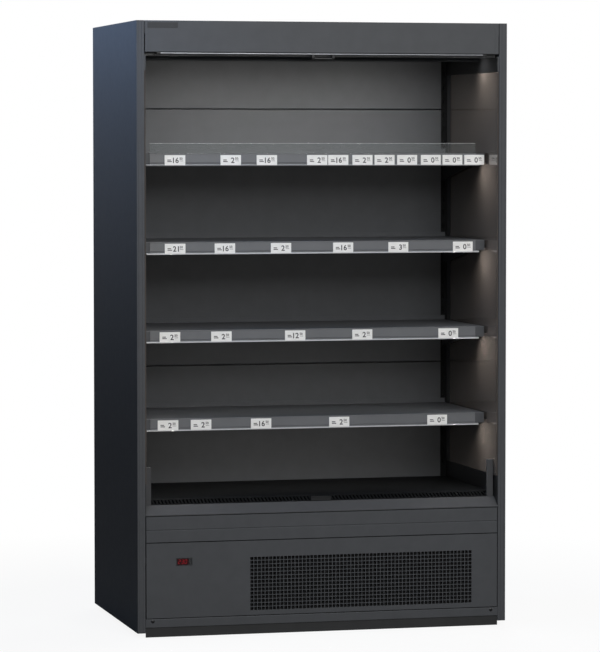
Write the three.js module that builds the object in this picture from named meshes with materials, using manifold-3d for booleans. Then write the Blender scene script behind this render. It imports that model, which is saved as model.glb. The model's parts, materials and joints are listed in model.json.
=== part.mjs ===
// Open multideck display fridge: a free-standing chilled cabinet with an open front, four hung
// shelves, a night blind in the canopy and its condensing unit in the base.
// Millimetres. X runs to the right seen from the front, Y to the back, Z up. The origin is on the
// floor under the middle of the cabinet.

import * as THREE from "three";
import { mergeVertices } from "three/addons/utils/BufferGeometryUtils.js";
import Module from "manifold-3d";

const wasm = await Module();
wasm.setup();

// ---------------------------------------------------------------- driving dimensions

// Outer size. The height is stacked up from the floor by the values that follow.
const WIDTH = 1250;
const DEPTH = 750;

// Gaps and sheet
const CLEAR = 0.3; // between pieces that touch
const SEAM = 2.5; // open joint between neighbouring front panels
const SHEET = 2; // folded sheet steel
const FOLD = 12; // width of a panel's folded edge

// Insulated shell
const END_WALL = 27;
const BACK_WALL = 50;
const ROOF = 40;
const TUB_FLOOR = 40;
const TUB_FRONT = 32;
const WALL_LIFT = 15; // the end walls stop above the floor
const EDGE_GROOVE = 1.6; // width and depth of the lines along the end walls' front edges

// Heights, from the floor up
const PLINTH_LIFT = 1;
const PLINTH = 32;
const KICK = 30;
const SERVICE_PANEL = 247;
const FRONT_PANEL = 86.5;
const NOSE_RISE = 34.5;
const DECK_STEP = 13; // the deck lies above the nose
const LOWEST_SHELF = 259.5; // above the deck
const SHELF_STEPS = 6; // slots of the uprights from one shelf to the next
const SHELVES = 4;
const TOP_SPACE = 317; // above the top shelf
const CANOPY = 112; // above the ceiling
const MACHINE_BAY = 200; // above the base plate

// Nose, deck and return air
const NOSE_RUN = 38;
const POST_WIDTH = 22;
const POST_DEPTH = 12;
const POST_HEIGHT = 122;
const GRILLE_RUN = 46; // from the nose to the deck pan
const DECK_LIP = 20;
const RETURN_SLOT = 14;
const RETURN_PITCH = 32;

// Chilled space
const DUCT = 103.5; // between the back wall and the duct panels
const LOWER_DUCT_PANEL = 403;
const UPPER_DUCT_PANEL = 165;
const MIRROR_SHEET = 4;
const MIRROR_SETBACK = 3; // behind the front edge
const MIRROR_FOOT = 57; // above the deck
const MIRROR_HEAD = 48; // below the ceiling
const MIRROR_TAIL = 54; // short of the duct panels
const UPRIGHT_WIDTH = 22;
const UPRIGHT_DEPTH = 25;
const SLOT_HEIGHT = 18;
const SLOT_DEPTH = 9;
const SLOT_PITCH = 48.25;

// Shelves
const SHELF_SETBACK = 122; // ticket strip behind the front plane
const SHELF_SIDE_GAP = 6; // to each mirror
const SHELF_REAR_GAP = 8; // to the duct panels
const SHELF_LIP = 35;
const SHELF_BACKSTOP = 15;
const SHELF_FLANGE = 25;
const BRACKET = 4;
const BRACKET_HEEL = 88;
const BRACKET_HEEL_RUN = 30;
const BRACKET_TOE = 18;
const BRACKET_TOE_GAP = 20; // to the shelf's front lip
const TONGUE = 12; // height of the tongue that hooks into a slot
const TONGUE_DROP = 6; // under the bracket's upper edge
const CROSS_BAR = 16;
const STRIP = 2.5;
const STRIP_END_GAP = 32; // the strip stops short of the shelf's ends
const STRIP_GROOVE = 1.5;
const STRIP_LINE = 4; // the groove's height above the strip's lower edge
const LIGHT_DEPTH = 26;
const LIGHT_HEIGHT = 5.5;
const LIGHT_END_GAP = 20;
const RISER = 3;
const RISER_HEIGHT = 33;

// Canopy and night blind
const FASCIA = 102;
const FASCIA_GAP = 2.5; // to each end wall
const FASCIA_TOP_FOLD = 22;
const FASCIA_FOOT_FOLD = 7;
const BLIND_BAR = 20;
const BLIND_BAR_HEIGHT = 5;
const BLIND_BAR_GAP = 5; // behind the front plane
const BLIND_BAR_DROP = 0.5; // under the fascia's foot
const BLIND_END_GAP = 42; // between the bar and each end wall
const CURTAIN_INSET = 6; // the cloth is narrower than the bar at each end
const CURTAIN = 1;
const BLIND_ROLL = 24; // radius of the wound cloth
const BLIND_TUBE = 15; // radius of the bare tube
const BLIND_PIN = 6;
const BLIND_PIN_LENGTH = 9;
const ROLL_GAP = 3; // wound cloth under the roof
const HANDLE_LENGTH = 80;
const HANDLE_BOSS = 12;
const HANDLE_DEPTH = 12;
const HANDLE_DROP = 13;
const HANDLE_ROD = 3.5;
const CATCH_LENGTH = 68;
const CATCH = 3;
const CATCH_HEIGHT = 14;
const HONEYCOMB_GAP = 6; // behind the blind bar
const HONEYCOMB = 80;
const HONEYCOMB_HEIGHT = 16;
const HONEYCOMB_CELL = 24;
const HONEYCOMB_WALL = 3;
const CANOPY_LIGHT_SETBACK = 18; // behind the honeycomb
const CANOPY_LIGHT_DEPTH = 22;
const CANOPY_LIGHT_HEIGHT = 11;
const CANOPY_LIGHT_END_GAP = 24;

// Service panel
const GRILLE_WIDTH = 758;
const GRILLE_END_GAP = 90; // from the right end wall
const GRILLE_FOOT = 16; // above the panel's lower edge
const GRILLE_HEIGHT = 177;
const GRILLE_HOLE = 32;
const GRILLE_BAR = 10;
const KICK_STEP = 3; // the plinth stands behind the kick strip

// Controller
const CONTROLLER_END_GAP = 102; // from the left end wall
const CONTROLLER_WIDTH = 53;
const CONTROLLER_HEIGHT = 25;
const CONTROLLER_TOP_GAP = 51; // under the service panel's upper edge
const CONTROLLER_DEPTH = 60;
const CONTROLLER_RIM = 1.5;
const BUTTON = 7;
const BUTTON_GAP = 2;
const BUTTON_LENGTH = 6;
const BUTTON_TRAVEL = 1;
const BUTTON_PROUD = 1.2; // above the controller's face

// Base
const FOOT_RADIUS = 20;
const FOOT_PAD = 10;
const FOOT_STEM = 6;
const FOOT_INSET = 60;
const RAIL = 30;
const RAIL_HEIGHT = 27;

// Condensing unit
const COMPRESSOR_END_GAP = 252; // from the right end wall
const COMPRESSOR_BACK_GAP = 209;
const COMPRESSOR_RADIUS = 76;
const COMPRESSOR_HEIGHT = 176;
const COMPRESSOR_FOOT = 24; // height and diameter
const POT_SEAM = 6;
const TERMINAL_WIDTH = 46;
const TERMINAL_DEPTH = 22;
const CONDENSER_END_GAP = 188; // from the right end wall
const CONDENSER_SETBACK = 30;
const CONDENSER_WIDTH = 300;
const CONDENSER_DEPTH = 60;
const CONDENSER_HEIGHT = 184;
const FIN = 3;
const CONDENSER_FIN_PITCH = 15;
const FIN_CORE = 12;
const CONDENSER_FAN = 85; // blade tip radius
const FAN_TIP_GAP = 4;
const FAN_BLADE = 2;
const FAN_BLADES = 5;
const FAN_PITCH_ANGLE = Math.PI / 6;
const CONDENSER_HUB = 26;
const CONDENSER_HUB_LENGTH = 24;
const CONDENSER_FAN_STANDOFF = 5; // behind the shroud's plate
const MOTOR_LENGTH = 45;
const ARM = 6;
const TRAY_END_GAP = 253; // from the left end wall
const TRAY_BACK_GAP = 65;
const TRAY_WIDTH = 320;
const TRAY_DEPTH = 240;
const TRAY_HEIGHT = 50;
const DRAIN_RADIUS = 16;
const DRAIN_WALL = 3;
const DRAIN_DIP = 8; // the drain ends above the tray's rim
const ELECTRICAL_END_GAP = 33; // from the left end wall
const ELECTRICAL_SETBACK = 80;
const ELECTRICAL_WIDTH = 190;
const ELECTRICAL_DEPTH = 130;
const ELECTRICAL_HEIGHT = 150;
const LOUVRE_LENGTH = 110;
const LOUVRE_HEIGHT = 8;
const LOUVRE_GAP_X = 32;
const LOUVRE_GAP_Z = 24;

// Evaporator and its fans
const FAN_PLATE_SETBACK = 255;
const EVAPORATOR_FAN = 55; // blade tip radius
const EVAPORATOR_FAN_END_GAP = 318; // from each end wall to the fan's axis
const EVAPORATOR_HUB = 18;
const EVAPORATOR_HUB_LENGTH = 16;
const EVAPORATOR_MOTOR_LENGTH = 28;
const EVAPORATOR_SETBACK = 370;
const EVAPORATOR_DEPTH = 170;
const EVAPORATOR_HEIGHT = 125;
const EVAPORATOR_END_GAP = 70;
const EVAPORATOR_FIN_PITCH = 40;

// ---------------------------------------------------------------- places worked out from them

const FRONT = -DEPTH / 2;
const BACK = DEPTH / 2;
const INNER = WIDTH / 2 - END_WALL; // half width between the end walls
const SPAN = INNER - CLEAR; // half width of what fits between them

const KICK_TOP = PLINTH + KICK;
const SERVICE_TOP = KICK_TOP + SERVICE_PANEL;
const FRONT_TOP = SERVICE_TOP + FRONT_PANEL;
const NOSE_TOP = FRONT_TOP + NOSE_RISE;
const DECK = NOSE_TOP + DECK_STEP;
const SHELF_PITCH = SHELF_STEPS * SLOT_PITCH;
const shelfLevel = (step) => DECK + LOWEST_SHELF + step * SHELF_PITCH;
const CEILING = shelfLevel(SHELVES - 1) + TOP_SPACE;
const HEIGHT = CEILING + CANOPY;

const BASE_TOP = KICK_TOP;
const TUB_BOTTOM = BASE_TOP + MACHINE_BAY;
const TUB_TOP = TUB_BOTTOM + TUB_FLOOR;
const BACK_FACE = BACK - BACK_WALL; // inner face of the back wall
const DUCT_FACE = BACK_FACE - DUCT - SHEET; // front of the duct panels
const MIRROR_FACE = SPAN - MIRROR_SHEET;
const NOSE_BACK = FRONT + NOSE_RUN;
const DECK_FRONT = NOSE_BACK + SHEET + GRILLE_RUN;
const CONTROLLER_LEFT = CONTROLLER_END_GAP - INNER;
const EVAPORATOR_FAN_X = INNER - EVAPORATOR_FAN_END_GAP;
const TRAY_X = TRAY_END_GAP + TRAY_WIDTH / 2 - INNER;
const TRAY_Y = BACK - TRAY_BACK_GAP - TRAY_DEPTH / 2;

// ---------------------------------------------------------------- materials

const surface = (color, roughness, metalness = 0) => ({ color, roughness, metalness });
const PAINT = surface(0x46484b, 0.5);
const DARK_PAINT = surface(0x2c2e30, 0.55);
const BLACK_PLASTIC = surface(0x131416, 0.5);
const DARK_MIRROR = surface(0x3a3938, 0.12, 0.7);
const STRIP_PLASTIC = surface(0x65676b, 0.4);
const ALUMINIUM = surface(0xb9babd, 0.3, 1);
const DIFFUSER = surface(0xf2f3f0, 0.4);
const ACRYLIC = surface(0xdfe6e8, 0.05);
const CLOTH = surface(0x9a9c9f, 0.85);
const DISPLAY = surface(0x2a0c0f, 0.25);
const GALVANISED = surface(0x9fa3a6, 0.45, 0.8);
const COMPRESSOR_BLACK = surface(0x17181a, 0.4);
const FAN_PLASTIC = surface(0x1d1f21, 0.5);

// ---------------------------------------------------------------- shape helpers

const PAST = 1; // how far a cutting tool runs past what it cuts
const ROUND = 24; // sides of a round opening or turned piece

// A box given by its low and high corner.
function block(x0, x1, y0, y1, z0, z1) {
  const g = new THREE.BoxGeometry(x1 - x0, y1 - y0, z1 - z0);
  return g.translate((x0 + x1) / 2, (y0 + y1) / 2, (z0 + z1) / 2);
}

const AXIS_X = new THREE.Vector3(1, 0, 0);
const AXIS_Y = new THREE.Vector3(0, 1, 0);
const AXIS_Z = new THREE.Vector3(0, 0, 1);

function extruded(points, length, basis) {
  const shape = new THREE.Shape(points.map(([a, b]) => new THREE.Vector2(a, b)));
  const g = new THREE.ExtrudeGeometry(shape, { depth: length, bevelEnabled: false, steps: 1 });
  return g.applyMatrix4(basis);
}

// An outline of [y, z] points carried along X.
function alongX(points, x0, x1) {
  const basis = new THREE.Matrix4().makeBasis(AXIS_Y, AXIS_Z, AXIS_X);
  return extruded(points, x1 - x0, basis).translate(x0, 0, 0);
}

// An outline of [x, z] points carried along Y, with holes right through it.
function alongY(points, y0, y1, holes = []) {
  const basis = new THREE.Matrix4().makeBasis(AXIS_X, AXIS_Z, AXIS_Y.clone().negate());
  const whole = extruded(points, y1 - y0, basis).translate(0, y1, 0);
  const tools = holes.map((hole) => alongY(hole, y0 - PAST, y1 + PAST));
  return tools.length ? cut(whole, ...tools) : whole;
}

// An outline of [x, y] points carried along Z, with holes right through it.
function alongZ(points, z0, z1, holes = []) {
  const whole = extruded(points, z1 - z0, new THREE.Matrix4()).translate(0, 0, z0);
  const tools = holes.map((hole) => alongZ(hole, z0 - PAST, z1 + PAST));
  return tools.length ? cut(whole, ...tools) : whole;
}

const rectangle = (a0, a1, b0, b1) => [[a0, b0], [a1, b0], [a1, b1], [a0, b1]];

// Points of a circle, for round holes in an outline.
function circle(a, b, radius, sides = ROUND) {
  return Array.from({ length: sides }, (_, i) => {
    const turn = (i / sides) * 2 * Math.PI;
    return [a + radius * Math.cos(turn), b + radius * Math.sin(turn)];
  });
}

// A profile of [radius, height] points turned about Z.
function turned(profile, sides = ROUND) {
  const points = profile.map(([r, z]) => new THREE.Vector2(r, z));
  return new THREE.LatheGeometry(points, sides).rotateX(Math.PI / 2);
}

// A solid round bar about Z, from one height to another.
const rod = (radius, z0, z1, sides = ROUND) =>
  turned([[0, z0], [radius, z0], [radius, z1], [0, z1]], sides);

function solidOf(geometry) {
  const bare = geometry.clone();
  bare.deleteAttribute("normal");
  bare.deleteAttribute("uv");
  const merged = mergeVertices(bare, 1e-4);
  return new wasm.Manifold(
    new wasm.Mesh({
      numProp: 3,
      vertProperties: merged.attributes.position.array,
      triVerts: new Uint32Array(merged.index.array),
    }),
  );
}

function geometryOf(solid) {
  const mesh = solid.getMesh();
  const g = new THREE.BufferGeometry();
  g.setAttribute("position", new THREE.BufferAttribute(mesh.vertProperties, 3));
  g.setIndex(new THREE.BufferAttribute(mesh.triVerts, 1));
  g.computeVertexNormals();
  return g;
}

const joined = (first, ...others) =>
  geometryOf(others.reduce((sum, g) => sum.add(solidOf(g)), solidOf(first)));

const cut = (first, ...tools) =>
  geometryOf(tools.reduce((rest, g) => rest.subtract(solidOf(g)), solidOf(first)));

// As many copies of a pitch as fit in a length, centred in it: the list of their middles.
function spread(low, high, size, pitch) {
  const count = Math.max(1, Math.floor((high - low - size) / pitch) + 1);
  const first = (low + high - (count - 1) * pitch) / 2;
  return Array.from({ length: count }, (_, i) => first + i * pitch);
}

const cabinet = new THREE.Group();

function piece(name, geometry, look, parent = cabinet) {
  const mesh = new THREE.Mesh(geometry, new THREE.MeshStandardMaterial(look));
  mesh.name = name;
  parent.add(mesh);
  return mesh;
}

function groupAt(x, y, z, parent = cabinet) {
  const group = new THREE.Group();
  group.position.set(x, y, z);
  parent.add(group);
  return group;
}

const SIDES = [["left", -1], ["right", 1]];

// ---------------------------------------------------------------- insulated shell

// Each end wall is a foamed panel with two fine lines along its front edge.
function endWalls() {
  const half = END_WALL / 2;
  const front = [];
  for (const middle of [-END_WALL / 6, END_WALL / 4]) {
    front.push([middle - EDGE_GROOVE / 2, FRONT]);
    front.push([middle, FRONT + EDGE_GROOVE]);
    front.push([middle + EDGE_GROOVE / 2, FRONT]);
  }
  const plan = [[-half, FRONT], ...front, [half, FRONT], [half, BACK], [-half, BACK]];
  for (const [side, sign] of SIDES) {
    const mirrored = plan.map(([x, y]) => [sign * x, y]);
    const wall = piece("end_wall_" + side, alongZ(mirrored, WALL_LIFT, HEIGHT), PAINT);
    wall.position.x = sign * (WIDTH / 2 - half);
  }
}

function backWall() {
  piece("back_panel", block(-SPAN, SPAN, BACK_FACE, BACK, TUB_BOTTOM, HEIGHT), PAINT);
}

function roof() {
  const top = HEIGHT - SHEET - CLEAR;
  const front = FRONT + SHEET + CLEAR;
  piece("roof_panel", block(-SPAN, SPAN, front, BACK_FACE - CLEAR, top - ROOF, top), PAINT);
}

// The insulated tub under the deck: its floor carries a drain over the evaporation tray.
function tub() {
  const back = BACK_FACE - CLEAR;
  const wallFront = FRONT + SHEET + CLEAR;
  const front = wallFront + TUB_FRONT + CLEAR;
  const drainFoot = BASE_TOP + CLEAR + TRAY_HEIGHT + DRAIN_DIP;
  const floor = block(-SPAN, SPAN, front, back, TUB_BOTTOM, TUB_TOP);
  const pipe = rod(DRAIN_RADIUS, drainFoot, TUB_BOTTOM + TUB_FLOOR / 2);
  pipe.translate(TRAY_X, TRAY_Y, 0);
  const bore = rod(DRAIN_RADIUS - DRAIN_WALL, drainFoot - PAST, TUB_TOP + PAST);
  bore.translate(TRAY_X, TRAY_Y, 0);
  const withPipe = joined(floor, pipe);
  piece("tub_floor", cut(withPipe, bore), DARK_PAINT);
  const wall = block(-SPAN, SPAN, wallFront, wallFront + TUB_FRONT, TUB_BOTTOM, FRONT_TOP);
  piece("tub_front", wall, DARK_PAINT);
}

// ---------------------------------------------------------------- front panels and nose

// A front panel of sheet with its upper and lower edges folded back, as [y, z] points.
function foldedPanel(z0, z1, fold = FOLD) {
  return [
    [FRONT, z0], [FRONT + fold, z0], [FRONT + fold, z0 + SHEET], [FRONT + SHEET, z0 + SHEET],
    [FRONT + SHEET, z1 - SHEET], [FRONT + fold, z1 - SHEET], [FRONT + fold, z1], [FRONT, z1],
  ];
}

// The plain panel under the nose has one pressed line along it.
function frontPanel() {
  const low = SERVICE_TOP + SEAM / 2;
  const high = FRONT_TOP - SEAM / 2;
  const line = (low + high) / 2 - SEAM;
  const half = SEAM / 2;
  const depth = SHEET / 2;
  const profile = [
    [FRONT, low], [FRONT + SHEET, low], [FRONT + SHEET, high], [FRONT, high],
    [FRONT, line + half], [FRONT + depth, line], [FRONT, line - half],
  ];
  const width = INNER - FASCIA_GAP;
  piece("front_panel", alongX(profile, -width, width), PAINT);
}

// The nose slopes up from the front, ends in a lip over the return air and has a post at each end.
function nose() {
  const low = FRONT_TOP + SEAM / 2;
  const lip = low + SEAM;
  const slope = (NOSE_TOP - lip) / NOSE_RUN;
  const under = SHEET * Math.hypot(1, slope); // the sloping sheet's thickness, straight down
  const profile = [
    [FRONT, low], [FRONT, lip], [NOSE_BACK, NOSE_TOP], [NOSE_BACK + SHEET, NOSE_TOP],
    [NOSE_BACK + SHEET, low], [NOSE_BACK, low], [NOSE_BACK, NOSE_TOP - under],
    [FRONT + SHEET, lip + SHEET * slope - under], [FRONT + SHEET, low],
  ];
  const cap = alongX(profile, -SPAN, SPAN);
  const outer = MIRROR_FACE - CLEAR;
  const posts = SIDES.map(([, sign]) => {
    const edges = [sign * outer, sign * (outer - POST_WIDTH)].sort((a, b) => a - b);
    const foot = NOSE_TOP - SHEET;
    return block(...edges, NOSE_BACK, NOSE_BACK + POST_DEPTH, foot, NOSE_TOP + POST_HEIGHT);
  });
  piece("nose_cap", joined(cap, ...posts), PAINT);

  const half = CATCH_LENGTH / 2;
  const foot = NOSE_TOP + CLEAR;
  const catchPlate = block(-half, half, 0, CATCH, 0, CATCH_HEIGHT);
  const lipOver = block(-half, half, -CATCH, CATCH, CATCH_HEIGHT - CATCH, CATCH_HEIGHT);
  const tab = piece("blind_catch", joined(catchPlate, lipOver), BLACK_PLASTIC);
  tab.position.set(0, NOSE_BACK - CATCH / 2, foot);
}

// The service panel lies against the tub's front above and has a folded lower edge, a field of
// square holes for the condenser's air and a window for the controller.
function servicePanel() {
  const low = KICK_TOP + SEAM / 2;
  const high = SERVICE_TOP - SEAM / 2;
  const width = INNER - FASCIA_GAP;
  const foot = low + GRILLE_FOOT;
  const pitch = GRILLE_HOLE + GRILLE_BAR;
  const half = GRILLE_HOLE / 2;
  const holes = [];
  const side = INNER - GRILLE_END_GAP;
  for (const x of spread(side - GRILLE_WIDTH, side, GRILLE_HOLE, pitch)) {
    for (const z of spread(foot, foot + GRILLE_HEIGHT, GRILLE_HOLE, pitch)) {
      holes.push(rectangle(x - half, x + half, z - half, z + half));
    }
  }
  const right = CONTROLLER_LEFT + CONTROLLER_WIDTH;
  const top = SERVICE_TOP - CONTROLLER_TOP_GAP;
  const window = rectangle(
    CONTROLLER_LEFT - CLEAR, right + CLEAR, top - CONTROLLER_HEIGHT - CLEAR, top + CLEAR,
  );
  const face = rectangle(-width, width, low, high);
  const sheet = alongY(face, FRONT, FRONT + SHEET, [...holes, window]);
  const lower = block(-width, width, FRONT + SHEET / 2, FRONT + FOLD, low, low + SHEET);
  piece("service_panel", joined(sheet, lower), PAINT);
}

// One folded plate: the kick strip stands in the front plane and the plinth under it is set back.
function kickPlate() {
  const low = PLINTH_LIFT;
  const high = KICK_TOP - SEAM / 2;
  const inner = FRONT + KICK_STEP;
  const back = FRONT + KICK_STEP + SHEET;
  const profile = [
    [inner, low], [back, low], [back, high - SHEET], [FRONT + FOLD, high - SHEET],
    [FRONT + FOLD, high], [FRONT, high], [FRONT, PLINTH], [inner, PLINTH],
  ];
  const width = INNER - FASCIA_GAP;
  piece("kick_plate", alongX(profile, -width, width), DARK_PAINT);
}

// The controller drops into the service panel's window: a rim round a sunk face, with two keys.
function controller() {
  const top = SERVICE_TOP - CONTROLLER_TOP_GAP;
  const place = groupAt(CONTROLLER_LEFT, FRONT, top - CONTROLLER_HEIGHT);
  const keyX = CONTROLLER_WIDTH - CONTROLLER_RIM - BUTTON_GAP - BUTTON;
  const spare = CONTROLLER_HEIGHT - 2 * BUTTON - BUTTON_GAP;
  const keyHeights = [spare / 2, spare / 2 + BUTTON + BUTTON_GAP];
  const body = block(0, CONTROLLER_WIDTH, 0, CONTROLLER_DEPTH, 0, CONTROLLER_HEIGHT);
  const recess = block(
    CONTROLLER_RIM, CONTROLLER_WIDTH - CONTROLLER_RIM, -PAST, CONTROLLER_RIM,
    CONTROLLER_RIM, CONTROLLER_HEIGHT - CONTROLLER_RIM,
  );
  const pocketDepth = CONTROLLER_RIM - BUTTON_PROUD + BUTTON_LENGTH + BUTTON_TRAVEL + CLEAR;
  const pockets = keyHeights.map((z) =>
    block(keyX - CLEAR, keyX + BUTTON + CLEAR, 0, pocketDepth, z - CLEAR, z + BUTTON + CLEAR));
  piece("controller", cut(body, recess, ...pockets), DISPLAY, place);
  ["key_down", "key_up"].forEach((name, i) => {
    const key = block(0, BUTTON, 0, BUTTON_LENGTH, 0, BUTTON);
    const mesh = piece("controller_" + name, key, BLACK_PLASTIC, place);
    mesh.position.set(keyX, CONTROLLER_RIM - BUTTON_PROUD, keyHeights[i]);
  });
}

// ---------------------------------------------------------------- chilled space

// Three folded panels in front of the air duct. Each seam between them is open by the seam gap.
function ductPanels() {
  const width = SPAN - UPRIGHT_WIDTH - CLEAR;
  const foot = DECK - SHEET;
  const levels = [
    ["lower", foot, foot + LOWER_DUCT_PANEL],
    ["middle", foot + LOWER_DUCT_PANEL + SEAM, CEILING - CLEAR - UPPER_DUCT_PANEL - SEAM],
    ["upper", CEILING - CLEAR - UPPER_DUCT_PANEL, CEILING - CLEAR],
  ];
  for (const [name, z0, z1] of levels) {
    const profile = foldedPanel(z0, z1).map(([y, z]) => [y - FRONT + DUCT_FACE, z]);
    piece("duct_panel_" + name, alongX(profile, -width, width), PAINT);
  }
}

// The uprights' slots, as the list of their middles, so that one lies behind each shelf's tongue.
function slotLevels(low, high) {
  const hooked = shelfLevel(0) - SHEET - CLEAR - TONGUE_DROP - TONGUE / 2;
  const below = Math.floor((hooked - SLOT_HEIGHT - low) / SLOT_PITCH);
  const above = Math.floor((high - SLOT_HEIGHT - hooked) / SLOT_PITCH);
  return Array.from({ length: below + above + 1 }, (_, i) => hooked + (i - below) * SLOT_PITCH);
}

// The slotted uprights that the shelf brackets hook into.
function uprights() {
  const low = DECK - SHEET;
  const high = CEILING - CLEAR;
  const levels = slotLevels(low, high);
  for (const [side, sign] of SIDES) {
    const post = block(0, UPRIGHT_WIDTH, 0, UPRIGHT_DEPTH, low, high);
    const bracketX = SPAN - shelfHalf() + SHEET + CLEAR + BRACKET / 2;
    const middle = sign < 0 ? bracketX : UPRIGHT_WIDTH - bracketX;
    const x = BRACKET / 2 + 2 * CLEAR;
    const z = SLOT_HEIGHT / 2;
    const tools = levels.map((level) =>
      block(middle - x, middle + x, -PAST, SLOT_DEPTH, level - z, level + z));
    const mesh = piece("upright_" + side, cut(post, ...tools), DARK_PAINT);
    mesh.position.set(sign < 0 ? -SPAN : SPAN - UPRIGHT_WIDTH, DUCT_FACE, 0);
  }
}

function mirrors() {
  const front = FRONT + MIRROR_SETBACK;
  const back = DUCT_FACE - MIRROR_TAIL;
  for (const [side, sign] of SIDES) {
    const low = DECK + MIRROR_FOOT;
    const half = MIRROR_SHEET / 2;
    const sheet = block(-half, half, front, back, low, CEILING - MIRROR_HEAD);
    const mesh = piece("mirror_" + side, sheet, DARK_MIRROR);
    mesh.position.x = sign * (SPAN - half);
  }
}

// The ceiling is a folded pan: its sides hang down to the mirrors, and the front is cut away
// between them for the honeycomb and the blind.
function ceiling() {
  const top = CEILING + SHEET;
  const foot = CEILING - MIRROR_HEAD + CLEAR;
  const pan = [
    [-SPAN, foot], [-MIRROR_FACE, foot], [-MIRROR_FACE, CEILING], [MIRROR_FACE, CEILING],
    [MIRROR_FACE, foot], [SPAN, foot], [SPAN, top], [-SPAN, top],
  ];
  const front = FRONT + MIRROR_SETBACK;
  const whole = alongY(pan, front, DUCT_FACE - CLEAR);
  const opening = MIRROR_FACE;
  const back = honeycombBack() + CLEAR;
  const mouth = block(-opening, opening, front - PAST, back, foot - PAST, top + PAST);
  piece("ceiling_panel", cut(whole, mouth), DARK_PAINT);
}

// ---------------------------------------------------------------- canopy

function fascia() {
  const low = HEIGHT - FASCIA;
  const foot = FRONT + FASCIA_FOOT_FOLD;
  const head = FRONT + FASCIA_TOP_FOLD;
  const profile = [
    [FRONT, low], [foot, low], [foot, low + SHEET], [FRONT + SHEET, low + SHEET],
    [FRONT + SHEET, HEIGHT - SHEET], [head, HEIGHT - SHEET], [head, HEIGHT], [FRONT, HEIGHT],
  ];
  const width = INNER - FASCIA_GAP;
  piece("canopy_fascia", alongX(profile, -width, width), PAINT);
}

const barBack = () => FRONT + BLIND_BAR_GAP + BLIND_BAR;
const honeycombFront = () => barBack() + HONEYCOMB_GAP;
const honeycombBack = () => honeycombFront() + HONEYCOMB;

// The air outlet: rows of open cells through its height.
function honeycomb() {
  const width = MIRROR_FACE - CLEAR;
  const front = honeycombFront();
  const back = honeycombBack();
  const pitch = HONEYCOMB_CELL + HONEYCOMB_WALL;
  const half = HONEYCOMB_CELL / 2;
  const border = HONEYCOMB_WALL;
  const cells = [];
  for (const x of spread(-width + border, width - border, 2 * HONEYCOMB_CELL, 2 * pitch)) {
    for (const y of spread(front + border, back - border, HONEYCOMB_CELL, pitch)) {
      cells.push(rectangle(x - 2 * half, x + 2 * half, y - half, y + half));
    }
  }
  const body = rectangle(-width, width, front, back);
  const grid = alongZ(body, CEILING, CEILING + HONEYCOMB_HEIGHT, cells);
  piece("air_honeycomb", grid, BLACK_PLASTIC);
}

function canopyLight() {
  const width = MIRROR_FACE - CANOPY_LIGHT_END_GAP;
  const front = honeycombBack() + CANOPY_LIGHT_SETBACK;
  const back = front + CANOPY_LIGHT_DEPTH;
  const top = CEILING - CLEAR;
  const low = top - CANOPY_LIGHT_HEIGHT;
  const bevel = CANOPY_LIGHT_HEIGHT / 3;
  const profile = [
    [front, top], [front, low + bevel], [front + bevel, low], [back - bevel, low],
    [back, low + bevel], [back, top],
  ];
  piece("canopy_light", alongX(profile, -width, width), DIFFUSER);
}

// The night blind: a sprung roll, the cloth down to its bar, the bar and its pull handle.
function nightBlind() {
  const barTop = HEIGHT - FASCIA - BLIND_BAR_DROP;
  const barFoot = barTop - BLIND_BAR_HEIGHT;
  const barFront = FRONT + BLIND_BAR_GAP;
  const barHalf = INNER - BLIND_END_GAP;
  const clothHalf = barHalf - CURTAIN_INSET;
  const clothBack = (barFront + barBack() + CURTAIN) / 2;
  const axisY = clothBack + CLEAR + BLIND_ROLL;
  const axisZ = HEIGHT - SHEET - CLEAR - ROOF - ROLL_GAP - BLIND_ROLL;

  const end = SPAN;
  const tube = SPAN - BLIND_PIN_LENGTH;
  const profile = [
    [0, -end], [BLIND_PIN, -end], [BLIND_PIN, -tube], [BLIND_TUBE, -tube],
    [BLIND_TUBE, -clothHalf], [BLIND_ROLL, -clothHalf], [BLIND_ROLL, clothHalf],
    [BLIND_TUBE, clothHalf], [BLIND_TUBE, tube], [BLIND_PIN, tube], [BLIND_PIN, end], [0, end],
  ];
  const roll = piece("blind_roller", turned(profile), CLOTH);
  roll.rotation.y = Math.PI / 2;
  roll.position.set(0, axisY, axisZ);

  const cloth = block(
    -clothHalf, clothHalf, clothBack - CURTAIN, clothBack, barTop + CLEAR, axisZ,
  );
  piece("blind_curtain", cloth, CLOTH);

  const nick = BLIND_BAR_HEIGHT / 4;
  const bar = [
    [barFront + nick, barFoot], [barBack() - nick, barFoot], [barBack(), barFoot + nick],
    [barBack(), barTop - nick], [barBack() - nick, barTop], [barFront + nick, barTop],
    [barFront, barTop - nick], [barFront, barFoot + nick],
  ];
  piece("blind_bar", alongX(bar, -barHalf, barHalf), ALUMINIUM);

  const middle = (barFront + barBack()) / 2;
  const half = HANDLE_LENGTH / 2;
  const grip = [
    [-half, 0], [-half, -HANDLE_DROP], [half, -HANDLE_DROP], [half, 0],
    [half - HANDLE_BOSS, 0], [half - HANDLE_BOSS, HANDLE_ROD - HANDLE_DROP],
    [HANDLE_BOSS - half, HANDLE_ROD - HANDLE_DROP], [HANDLE_BOSS - half, 0],
  ];
  const handle = alongY(grip, -HANDLE_DEPTH / 2, HANDLE_DEPTH / 2);
  const mesh = piece("blind_handle", handle, BLACK_PLASTIC);
  mesh.position.set(0, middle, barFoot - CLEAR);
}

// ---------------------------------------------------------------- shelves

const shelfHalf = () => MIRROR_FACE - SHELF_SIDE_GAP;

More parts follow.
